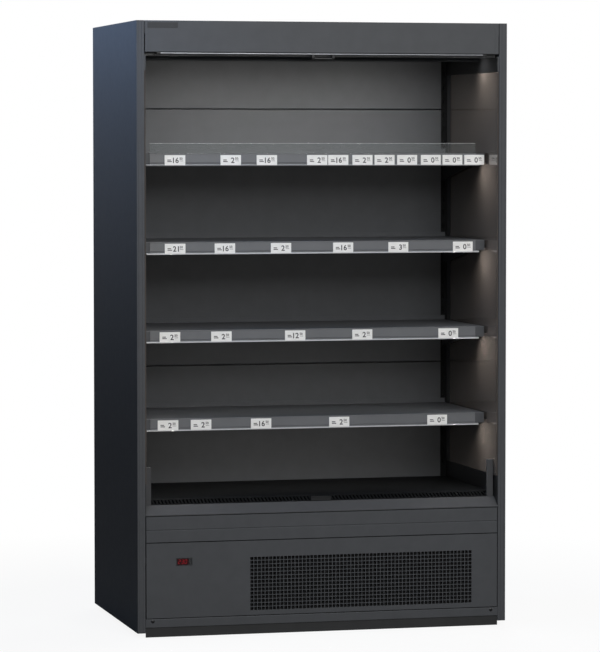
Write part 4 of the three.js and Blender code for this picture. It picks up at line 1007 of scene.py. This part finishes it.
def shelves():
    """Four shelves with their strips, cards and lights, and the clear riser on the top one."""
    for number in CARDS:
        shelf_tray(number)
        ticket_strip(number)
        price_cards(number)
        shelf_light(number)
    low, high = limits("shelf_riser_1")
    put("clear_riser", "shelf_unit_1", [brick(low, high, 0.5)], ACRYLIC, ["shelf_riser_1"])
    # A pale strip on the riser's top edge is a painted highlight.
    edge = brick((low[X], low[Y] + 0.4, high[Z] - 0.2), (high[X], high[Y] - 0.4, high[Z] + 0.8), 0.3)
    put("riser_painted_highlight", "shelf_unit_1", [edge], PAINTED_HIGHLIGHT_PLASTIC)


# ------------------------------------------------------------------ canopy and night blind

CELL = 12.0  # across the flats of a honeycomb cell
CELL_WALL = 0.8
OUTLET_FRAME = 4.0  # width of the frame round the cells
OUTLET_END_SHADE = 37.0  # length of the black block on each end of the outlet, painted shade
CEILING_SHADE_SHEET = (3.9, 0.8)  # in from the ceiling's side, and its thickness
LAMP_WALL = 1.2  # thickness of the canopy lamp's channel


def honeycomb():
    """Six-sided cells in rows: each is a ring of six quads between the cell's outline and its bore. A frame
    closes the rim, and a black block on each end is painted shade."""
    low, high = limits("air_honeycomb")
    side = CELL / math.sqrt(3)
    turn = np.radians(np.arange(30, 390, 60))
    corner = np.stack([np.cos(turn), np.sin(turn)], axis=1)
    columns = int((high[X] - low[X] - 2 * OUTLET_FRAME - CELL) / CELL)
    rows = int((high[Y] - low[Y] - 2 * OUTLET_FRAME - side / 2) / (1.5 * side))
    row, column = np.meshgrid(np.arange(rows), np.arange(columns), indexing="ij")
    across = (column + 0.5 * (row % 2)).ravel() * CELL
    middle = np.stack([across, row.ravel() * 1.5 * side], axis=1)
    middle += (low[:2] + high[:2]) / 2 - (middle.min(axis=0) + middle.max(axis=0)) / 2
    outer = middle[:, None] + corner * side
    inner = middle[:, None] + corner * (side - CELL_WALL)
    around = np.stack([outer, np.roll(outer, -1, 1), np.roll(inner, -1, 1), inner], axis=2)
    cells = pierced([around.reshape(-1, 4, 2)], Z, low[Z] + 1, high[Z] - 1)
    rim = rectangle(low[X], low[Y], high[X], high[Y])
    bore = drawn_in(rim, OUTLET_FRAME)
    closing = stacked([(rim, low[Z]), (rim, high[Z]), (bore, high[Z]), (bore, low[Z])], over=True)
    put("outlet_honeycomb", "cabinet", [cells, closing], GREY, ["air_honeycomb"])
    # Black blocks over the outlet's ends: painted shade.
    caps = []
    for left, right in both_ends(high[X], OUTLET_END_SHADE):
        caps.append(brick((left, low[Y] - 0.4, low[Z] - 0.4), (right, high[Y] + 0.4, high[Z] - 5), 0.6))
    put("outlet_painted_end_shade", "cabinet", caps, BLACK)


def ceiling_shade_sheets():
    """A thin black sheet on both hanging sides of the ceiling, above the mirrors: painted shade."""
    low, high = limits("ceiling_panel")
    inset, thick = CEILING_SHADE_SHEET
    forms = []
    for left, right in both_ends(high[X] - inset, thick):
        forms.append(brick((left, low[Y] + 0.3, low[Z] + 0.3), (right, high[Y] - 1, high[Z] - 2.3), 0.2))
    put("ceiling_side_painted_shade", "cabinet", forms, BLACK)


def canopy_lamp():
    """A dull channel that hides the lamp from the front, and the opal cover in it."""
    low, high = limits("canopy_light")
    half = LAMP_WALL / 2
    front, rear, head = low[Y] + half, high[Y] - half, high[Z] - half
    line = [(front, low[Z]), (front, head), (rear, head), (rear, low[Z] + 5)]
    channel = prism(folded(line, LAMP_WALL, 1.0), X, low[X], high[X])
    put("canopy_lamp_channel", "cabinet", [channel], DULL_METAL, ["canopy_light"])
    cover = wedge(low + (0, 0, LAMP_WALL + 0.2), high, LAMP_WALL)
    put("canopy_lamp_cover", "cabinet", [cover], CANOPY_GLOW)


ROLL_TUBE, ROLL_PIN = 15.0, 6.0  # radii of the roll's tube and of the pin at each end
PIN_LENGTH = 9.0
BAR_CAP, GRIP_BOSS = 12.0, 12.0  # lengths along X
CLOTH_GRID = (45, 41)  # points across and up


def blind_roll():
    """The wound cloth on its tube with a pin at each end: a stepped profile, the same both ways
    from the middle, turned about X."""
    low, high = limits("blind_roller")
    reach, half, roll = high[X], limits("blind_curtain")[1][X], (high[Z] - low[Z]) / 2
    steps = [
        (roll, half - 0.6), (roll - 0.6, half), (ROLL_TUBE, half), (ROLL_TUBE, reach - PIN_LENGTH),
        (ROLL_PIN, reach - PIN_LENGTH), (ROLL_PIN, reach - 1), (ROLL_PIN - 1, reach),
    ]
    profile = [(radius, -place) for radius, place in steps[::-1]] + steps
    rolled = turned(profile, (low + high) / 2 * (0, 1, 1), X)
    put("wound_blind_roll", "blind_roll", [rolled], CLOTH, ["blind_roller"])


def blind_bar():
    """The bar at the cloth's foot with its end caps, and the grip: a rail between two bosses."""
    low, high = limits("blind_bar")
    plan = rounded(rectangle(low[Y], low[Z], high[Y], high[Z]), 1.8)
    bar = prism(plan, X, low[X] + BAR_CAP, high[X] - BAR_CAP)
    put("blind_bar_extrusion", "blind_pull_bar", [bar], ALUMINIUM, ["blind_bar"])
    plan = rounded(rectangle(low[Y] - 0.3, low[Z] - 0.3, high[Y] + 0.3, high[Z] + 0.2), 2.0)
    caps = [prism(plan, X, *ends, 0.8) for ends in both_ends(high[X], BAR_CAP + 1)]
    put("blind_bar_end_caps", "blind_pull_bar", caps, BLACK)
    low, high = limits("blind_handle")
    middle = (low[Y] + high[Y]) / 2
    rail = rounded(rectangle(low[X], middle - 3.5, high[X], middle + 3.5), 3.2)
    forms = [prism(rail, Z, low[Z], low[Z] + 3.4, 0.9)]
    for left, right in both_ends(high[X], GRIP_BOSS):
        plan = rounded(rectangle(left, low[Y], right, high[Y]), 2.5)
        rings = [(drawn_in(plan, 1.4), low[Z] + 0.6), (plan, low[Z] + 4), (plan, high[Z])]
        forms.append(stacked(rings))
    put("blind_grip", "blind_pull_bar", forms, BLACK, ["blind_handle"])


def blind_cloth():
    """The cloth between the roll and the bar: a flat sheet of quads."""
    cloth_low, cloth_high = limits("blind_curtain")
    columns, rows = CLOTH_GRID
    across = np.linspace(cloth_low[X], cloth_high[X], columns)
    level = np.linspace(cloth_low[Z], cloth_high[Z], rows)
    sheet_y = (cloth_low[Y] + cloth_high[Y]) / 2
    points = np.stack(np.broadcast_arrays(across[None], sheet_y, level[:, None]), axis=-1)
    sheet = [(points.reshape(-1, 3), [quads(rows, columns)])]
    cloth = put("blind_cloth_sheet", None, sheet, CLOTH, ["blind_curtain"])
    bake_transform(cloth)


# ------------------------------------------------------------------ machine bay

LOUVRE = (104.0, 13.0, 1.8)  # length, height and swell of a hood
LOUVRE_PITCH = 128.0
LOUVRE_GRID = (9, 7)  # columns and rows
LOUVRE_MARGIN = (26.0, 34.0)  # under the lowest row, and over the highest row's foot
COVER_SCREW = 12.0  # from the cover's edges


def rear_cover():
    """The rear cover with rows of pressed louvres, each a hood that swells out over its slot: a
    half circle across, and along it the sine to the power 0.35."""
    low, high = limits("rear_grille")
    forms = [brick((low[X], low[Y] - 0.4, low[Z]), (high[X], high[Y] - 0.6, high[Z]), 0.6)]
    along = np.linspace(0, 1, 13)[:, None]
    turn = np.linspace(0, math.pi, 9)[None, :]
    swell = np.sin(math.pi * along) ** 0.35
    length, rise, proud = LOUVRE
    columns, rows = LOUVRE_GRID
    foot, head = LOUVRE_MARGIN
    for x in (np.arange(columns) - (columns - 1) / 2) * LOUVRE_PITCH:
        for z in np.linspace(low[Z] + foot, high[Z] - head, rows):
            places = np.empty((13, 9, 3))
            places[..., X] = x + length * (along - 0.5)
            places[..., Y] = high[Y] - 1.0 + proud * swell * np.sin(turn)
            places[..., Z] = z + rise / 2 * (1 - np.cos(turn)) * (0.35 + 0.65 * swell)
            forms.append(loft(places))
    for x, z in edge_places(low, high, COVER_SCREW):
        forms.append(screw(x, high[Y] - 1.0, z, 4.0, facing=1))
    put("louvred_rear_cover", "cabinet", forms, PAINT, ["rear_grille"])


FAN_BLADES = 5
# Each wheel: its node, its piece, its body, its blades' reach and its hub's radius.
WHEELS = (
    ("evaporator_fan_left", "left_evaporator_wheel", "fan_left", 55.0, 18.0),
    ("evaporator_fan_right", "right_evaporator_wheel", "fan_right", 55.0, 18.0),
    ("condenser_fan", "condenser_wheel", "fan_condenser", 85.0, 26.0),
)


def wheel_blades(centre, hub, tip, depth):
    """Fan blades: each is a curved plate over two parameters, one from the hub to the tip and one
    across. It sweeps forward and flattens towards the tip, and its height along Y is the way
    across, less towards the tip, plus an arch."""
    out = np.linspace(0, 1, 12)[:, None]
    across = np.linspace(-1, 1, 9)[None, :]
    radius = hub * 0.9 + (tip - hub * 0.9) * out
    half = np.radians(13 + 17 * np.sin(math.pi * out * 0.62))
    sweep = np.radians(24) * out**1.6
    arch = 0.16 * (1 - across**2)
    height = depth / 2 * (0.82 - 0.3 * out) * across + depth * arch * 0.5
    forms = []
    for i in range(FAN_BLADES):
        turn = i * 2 * math.pi / FAN_BLADES + sweep + half * across
        x, z = centre[X] + radius * np.cos(turn), centre[Z] + radius * np.sin(turn)
        front, back = (np.stack([x, centre[Y] + height + lift, z], axis=-1) for lift in (0.9, -0.9))
        forms.append(loft(np.concatenate([front, back[:, ::-1]], axis=1)))
    return forms


def fans():
    """Three moulded wheels: a cupped hub with a domed nose, and curved blades round it."""
    for node, name, body, reach, hub in WHEELS:
        low, high = limits(node)
        origin = np.array(next(j["pos_m"] for j in frame["joints"] if j["child"] == body)) / MM
        middle = np.array((origin[X], (low[Y] + high[Y]) / 2, origin[Z]))
        length = high[Y] - low[Y] - 0.8
        front, back = 0.4 - length / 2, length / 2
        profile = [
            (1.0, front), (hub * 0.5, front + 0.3), (hub * 0.85, front + 1.2), (hub, front + 3.5),
            (hub, back - 0.6), (hub - 1, back), (1.0, back),
        ]
        blades = wheel_blades(middle, hub, 0.95 * reach, length * 0.8)
        put(name, body, [turned(profile, middle, Y), *blades], FAN_NYLON, [node])


POT_RADIUS = 76.0
POT_DOME = 34.0  # height of each domed end
POT_FOOT = 24.0  # from the base frame up to the pot
SEAM = ((0, -3), (3, -2.6), (3, 2.6), (0, 3))  # the lipped seam: out from the pot, and up
# The profile of a rubber foot: radius and height.
RUBBER_FOOT = ((9, 0), (11.5, 1), (11.5, 8), (8, 10), (8, 13), (11.5, 15), (11.5, 20), (9, 21))
FOOT_PLACE = 64.0  # of each foot, from the pot's middle
COVER = (28.0, 23.0)  # depth and half the side of the terminal cover


def compressor():
    """The welded pot: two drawn shells with a lipped seam, on a plate with rubber feet, with a
    terminal cover and its pipes."""
    low, high = limits("compressor")
    x, y = low[X] + POT_RADIUS, (low[Y] + high[Y]) / 2
    top, foot = high[Z], low[Z] + POT_FOOT
    seam = (top + foot) / 2
    dome = np.radians(np.linspace(6, 90, 10))
    upper = [(POT_RADIUS * math.sin(a) ** 0.8, top - POT_DOME * (1 - math.cos(a))) for a in dome]
    lower = [(radius, foot + (top - z)) for radius, z in upper]
    middle = [(POT_RADIUS + out, seam + up) for out, up in SEAM]
    pot = turned([*lower, *middle, *upper[::-1]], (x, y, 0), Z, 64)
    plate = rounded(rectangle(x - POT_RADIUS, y - POT_RADIUS, x + POT_RADIUS, y + POT_RADIUS), 14)
    forms = [pot, prism(plate, Z, foot - 3, foot, 0.5)]
    put("compressor_pot", "cabinet", forms, BLACK_ENAMEL_AND_BAY_SHADE, ["compressor"])
    corners = [(a, b) for a in (-FOOT_PLACE, FOOT_PLACE) for b in (-FOOT_PLACE, FOOT_PLACE)]
    feet = [turned(RUBBER_FOOT, (x + a, y + b, low[Z]), Z, 24) for a, b in corners]
    depth, half = COVER
    feet.append(brick((high[X] - depth, y - half, seam - half), (high[X], y + half, seam + half), 3))
    put("compressor_feet_and_cover", "cabinet", feet, BLACK)
    discharge = [(-60, seam + 20), (-90, seam + 20), (-90, top + 40), (110, top + 40)]
    discharge = [(x - 30, y + along, z) for along, z in discharge]
    suction = [(34, -62, seam + 10), (34, -100, seam + 10), (34, -100, top + 24), (-90, -100, top + 24)]
    suction = [(x + across, y + along, z) for across, along, z in suction]
    pipes = [pipe(discharge, 4, 16), pipe(suction, 5, 18)]
    put("compressor_pipes", "cabinet", pipes, COPPER)


FIN_THICK, FIN_MARGIN = 0.5, 6.0
END_PLATE = 1.6
TUBE_RADIUS, TUBE_BEND, TUBE_INSET = 4.5, 9.0, 14.0


def finned_block(name, node, pitch, tubes, finish, tube_finish):
    """A coil: thin fins along X, end plates, and tubes through them with round bends."""
    low, high = limits(node)
    face = rectangle(low[Y] + 1, low[Z] + 1, high[Y] - 1, high[Z] - 1)
    places = np.arange(low[X] + FIN_MARGIN, high[X] - FIN_MARGIN, pitch)
    forms = [prism(face, X, x, x + FIN_THICK) for x in places]
    for x in (low[X] + 0.2, high[X] - END_PLATE - 0.2):
        forms.append(brick((x, low[Y], low[Z]), (x + END_PLATE, high[Y], high[Z]), 0.4))
    put(name + "_fins", "cabinet", forms, finish, [node])
    rows_y = np.linspace(low[Y] + TUBE_INSET, high[Y] - TUBE_INSET, tubes[0])
    rows_z = np.linspace(low[Z] + TUBE_INSET, high[Z] - TUBE_INSET, tubes[1])
    start, far = low[X] - 2, high[X] + 12
    runs = []
    for y in rows_y:
        for z0, z1 in zip(rows_z[::2], rows_z[1::2]):
            path = [(start, y, z0), (far, y, z0), (far, y, z1), (start, y, z1)]
            runs.append(pipe(path, TUBE_RADIUS, min(TUBE_BEND, (z1 - z0) / 2 - 0.2), 10))
    put(name + "_tubes", "cabinet", runs, tube_finish)


TRAY_CORNER = 12.0
BOX_LID = 3.5  # thickness of the electrical box's lid
LID_SCREW = 10.0  # from the box's edges


def bay_fittings():
    """The evaporation tray with a rolled rim, and the electrical box with its lid and screws."""
    low, high = limits("evaporation_tray")
    foot, head = low[Z], high[Z]
    wall = [
        (5, foot), (1, foot + 4), (1, head - 2), (0, head - 1), (1, head), (3, head - 0.6),
        (3, foot + 5), (7, foot + 2),
    ]
    rings = []
    for inset, level in wall:
        plan = rectangle(low[X] + inset, low[Y] + inset, high[X] - inset, high[Y] - inset)
        rings.append((rounded(plan, TRAY_CORNER - min(inset - 1, 4)), level))
    put("meltwater_tray", "cabinet", [stacked(rings)], ZINC, ["evaporation_tray"])
    low, high = limits("electrical_box")
    case = brick((low[X], low[Y] + BOX_LID, low[Z]), high, 2)
    front, back = low[Y] + 0.6, low[Y] + BOX_LID - 0.3
    lid = brick((low[X] + 0.3, front, low[Z] + 0.3), (high[X] - 0.3, back, high[Z] - 0.3), 1.2)
    screws = [screw(x, low[Y] + 0.8, z, 3.5) for x, z in edge_places(low, high, LID_SCREW)]
    forms = [case, lid, *screws]
    put("electrical_enclosure", "cabinet", forms, DARK_PAINT_AND_FRAME_SHADE, ["electrical_box"])


def coat(finish, *nodes):
    """A finish for CAD nodes that are shown as they are."""
    for name in nodes:
        mesh = frame["nodes"][name].data
        mesh.materials.clear()
        mesh.materials.append(finish)


for side, sign in SIDES:
    end_wall(side, sign)
back_and_roof()
fascia()
front_panel()
nose()
service_panel()
dust_filter()
kick()
controller()
duct_panels()
mirrors()
wall_shade_sheets()
deck()
shelves()
honeycomb()
ceiling_shade_sheets()
canopy_lamp()
blind_roll()
blind_bar()
blind_cloth()
rear_cover()
fans()
compressor()
finned_block("evaporator_coil", "evaporator", 6.0, (4, 4), FIN_METAL, COPPER)
# The condenser's black is painted shade of the dark bay behind the grille.
finned_block("condenser_coil", "condenser", 3.2, (2, 6), BLACK_ENAMEL_AND_BAY_SHADE, BLACK_ENAMEL_AND_BAY_SHADE)
bay_fittings()
coat(BLACK_PAINT, "upright_left", "upright_right", "tub_front")
coat(PAINT, "ceiling_panel")
coat(DARK_PAINT_AND_FRAME_SHADE, "tub_floor")
coat(DARK_PAINT_AND_FRAME_SHADE, "shelf_bracket_1", "shelf_bracket_2", "shelf_bracket_3", "shelf_bracket_4")
coat(ZINC, "fan_plate", "fan_shroud")
# The galvanised base frame is drawn in dark paint: painted shade in the bay.
coat(DARK_PAINT_AND_FRAME_SHADE, "base_frame")


# ------------------------------------------------------------------ studio

FLOOR_SIZE = 60.0
AMBIENT = 0.02  # the dim fill from all round
DIM_WHITE = "#eeeff0"
FLOOR_LIFT = 0.9  # share of plain white in the floor beside the object, as the camera sees it
SHADOW_REACH = (1.2, 2.6)  # metres from the object over which the floor turns all white
SCREEN_RADIUS, SCREEN_HEIGHT = 6.5, 7.0
SCREEN_ARC = (105, 345)  # degrees from +X, round the left and the front
SCREEN_GLOW = 0.035  # against 1 for plain white
LED_WHITE = "#fffaf4"
ROW_PLACE = (0, 0.012, -0.004)  # of a row of LEDs, from its light's low front edge
ROW_TILT, ROW_SPREAD = 50, 100  # degrees back from straight down, and of its beam
ROW_INSET, ROW_WIDTH = 0.2, 0.006  # shorter than its light, and the width of its beam's start
ROW_POWER = {1: 0.18, 2: 0.14, 3: 0.38, 4: 0.58}  # watts under each shelf
END_SIZE = (0.16, 0.02)  # of the last LEDs beside a mirror
END_AIM, END_POWER = (0.45, -0.7, -1.0), 0.4  # the way they face on the right, and watts
LENS, SENSOR = 184.7, 36.0  # millimetres
EYE = (-2.7669, -10.959, 1.603)  # fitted to the photograph's straight edges
LOOK_DOWN, LOOK_RIGHT = 3.118, 14.237  # degrees


def white_world():
    """Plain white for the camera, for gloss and for glass, and a dim even fill for the rest."""
    world = bpy.data.worlds.new("studio")
    bpy.context.scene.world = world
    world.use_nodes = True
    tree = world.node_tree
    fill = tree.nodes["Background"]
    fill.inputs["Color"].default_value = srgb(DIM_WHITE)
    fill.inputs["Strength"].default_value = AMBIENT
    white = add(tree, "Background", {"Color": srgb("#ffffff"), "Strength": 1.0})
    rays = add(tree, "LightPath").outputs
    two = {0: rays["Is Camera Ray"], 1: rays["Is Glossy Ray"]}
    three = {0: add(tree, "Math", two, operation="MAXIMUM").outputs[0], 1: rays["Is Transmission Ray"]}
    share = add(tree, "Math", three, operation="MAXIMUM").outputs[0]
    mix = add(tree, "MixShader", {0: share, 1: fill.outputs[0], 2: white.outputs[0]})
    tree.links.new(mix.outputs[0], tree.nodes["World Output"].inputs["Surface"])


def pale_floor():
    """A pale floor that keeps the object's shadow: for the camera part of it is plain white."""
    half = FLOOR_SIZE / 2
    corners = [(-half, -half, 0), (half, -half, 0), (half, half, 0), (-half, half, 0)]
    mesh = bpy.data.meshes.new("floor")
    mesh.from_pydata(corners, [], [(0, 1, 2, 3)])
    floor = placed("floor", mesh)
    material, tree, shader = finish_of("pale_studio_floor", "#f4f4f4", 0.9, Specular_IOR_Level=0.0)
    white = add(tree, "Emission", {"Color": srgb("#ffffff"), "Strength": 1.0})
    rays = add(tree, "LightPath")
    seen = {0: rays.outputs["Is Camera Ray"], 6: srgb("#707070"), 7: srgb("#f4f4f4")}
    tree.links.new(add(tree, "Mix", seen, data_type="RGBA").outputs[2], shader.inputs["Base Color"])
    place = add(tree, "TexCoord").outputs["Object"]
    away = add(tree, "VectorMath", {0: place}, operation="LENGTH").outputs["Value"]
    near, far = SHADOW_REACH
    reach = {"Value": away, "From Min": near, "From Max": far, "To Min": FLOOR_LIFT, "To Max": 1.0}
    lift = add(tree, "MapRange", reach).outputs[0]
    share = add(tree, "Math", {0: rays.outputs["Is Camera Ray"], 1: lift}, operation="MULTIPLY")
    mix = add(tree, "MixShader", {0: share.outputs[0], 1: shader.outputs[0], 2: white.outputs[0]})
    tree.links.new(mix.outputs[0], tree.nodes["Material Output"].inputs["Surface"])
    mesh.materials.append(material)


def dark_screen():
    """A curved dim screen round the front and the left, which only gloss and soft light see, as
    black cloth round a dark object in a studio: its plan is an arc and it stands upright."""
    turn = np.radians(np.linspace(*SCREEN_ARC, 41))
    level = np.array([0.02, SCREEN_HEIGHT])
    points = np.empty((2, len(turn), 3))
    points[..., X], points[..., Y] = SCREEN_RADIUS * np.cos(turn), SCREEN_RADIUS * np.sin(turn)
    points[..., Z] = level[:, None]
    mesh = bpy.data.meshes.new("dark_screen")
    mesh.from_pydata(points.reshape(-1, 3), [], quads(2, len(turn)).tolist())
    screen = placed("dark_screen", mesh)
    for unseen in ("visible_camera", "visible_transmission", "visible_shadow"):
        setattr(screen, unseen, False)
    material = bpy.data.materials.new("dim_studio_screen")
    material.use_nodes = True
    tree = material.node_tree
    glow = add(tree, "Emission", {"Color": srgb(DIM_WHITE), "Strength": SCREEN_GLOW})
    tree.links.new(glow.outputs[0], tree.nodes["Material Output"].inputs["Surface"])
    mesh.materials.append(material)


def soft_lamp(name, place, target, size, power, colour="#ffffff", spread=180.0):
    """A soft box of a width and height that faces a point."""
    light = bpy.data.lights.new(name, "AREA")
    light.shape, light.spread = "RECTANGLE", math.radians(spread)
    light.size, light.size_y = size
    light.energy, light.color = power, srgb(colour)[:3]
    lamp = placed(name, light)
    lamp.visible_camera = False
    lamp.location = place
    lamp.rotation_euler = (Vector(target) - Vector(place)).to_track_quat("-Z", "Y").to_euler()
    return lamp


def led_row(node, body, power, boost=1.0):
    """The light of one row of LEDs, which moves with its body: a narrow strip under the cover
    that shines back into the cabinet, and its last LEDs, which light the mirrors beside them."""
    low, high = (np.array(corner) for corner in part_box(node))
    place = np.array((0, low[Y], low[Z])) + ROW_PLACE
    tilt = math.radians(ROW_TILT)
    ahead = place + (0, math.sin(tilt), -math.cos(tilt))
    size = (high[X] - low[X] - ROW_INSET, ROW_WIDTH)
    lamps = [soft_lamp(node + "_leds", place, ahead, size, power, LED_WHITE, ROW_SPREAD)]
    for side, sign in SIDES:
        end = place + (sign * (high[X] - END_SIZE[0] / 2), 0, 0)
        beside = end + np.array(END_AIM) * (sign, 1, 1)
        lamp = soft_lamp(f"{node}_{side}_led", end, beside, END_SIZE, END_POWER * boost, LED_WHITE)
        lamp.visible_glossy = False
        lamps.append(lamp)
    for lamp in lamps:
        lamp.parent = frame["bodies"][body]


def camera():
    """The photograph's view: from 11 m away at eye height, a little from the left."""
    lens = bpy.data.cameras.new("camera")
    lens.lens, lens.sensor_width, lens.clip_end = LENS, SENSOR, 100.0
    view = placed("camera", lens)
    view.location = EYE
    view.rotation_euler = (math.radians(90 - LOOK_DOWN), 0, math.radians(-LOOK_RIGHT))
    bpy.context.scene.camera = view


white_world()
pale_floor()
dark_screen()
soft_lamp("key", (0.3, -4.6, 3.2), (0.1, 0, 1.2), (2.6, 2.2), 142)
soft_lamp("fill", (0.4, -5.2, 0.5), (0, 0, 0.8), (2.5, 1.0), 33, "#fff8f0").visible_glossy = False
soft_lamp("side", (-0.96, 0, 2.34), (-0.63, 0, 1.85), (2.4, 0.2), 10, "#a9c8f5", 110)
soft_lamp("rear", (1.6, 4.4, 2.9), (0, 0, 1.1), (2.2, 2.2), 110)
soft_lamp("right", (5.0, -0.5, 2.6), (0.6, 0, 1.1), (2.2, 2.2), 70)
led_row("canopy_light", "cabinet", 1.9, boost=1.4)
for shelf in CARDS:
    led_row(f"shelf_light_{shelf}", f"shelf_unit_{shelf}", ROW_POWER[shelf])
camera()
bpy.context.scene.view_settings.view_transform = "Standard"
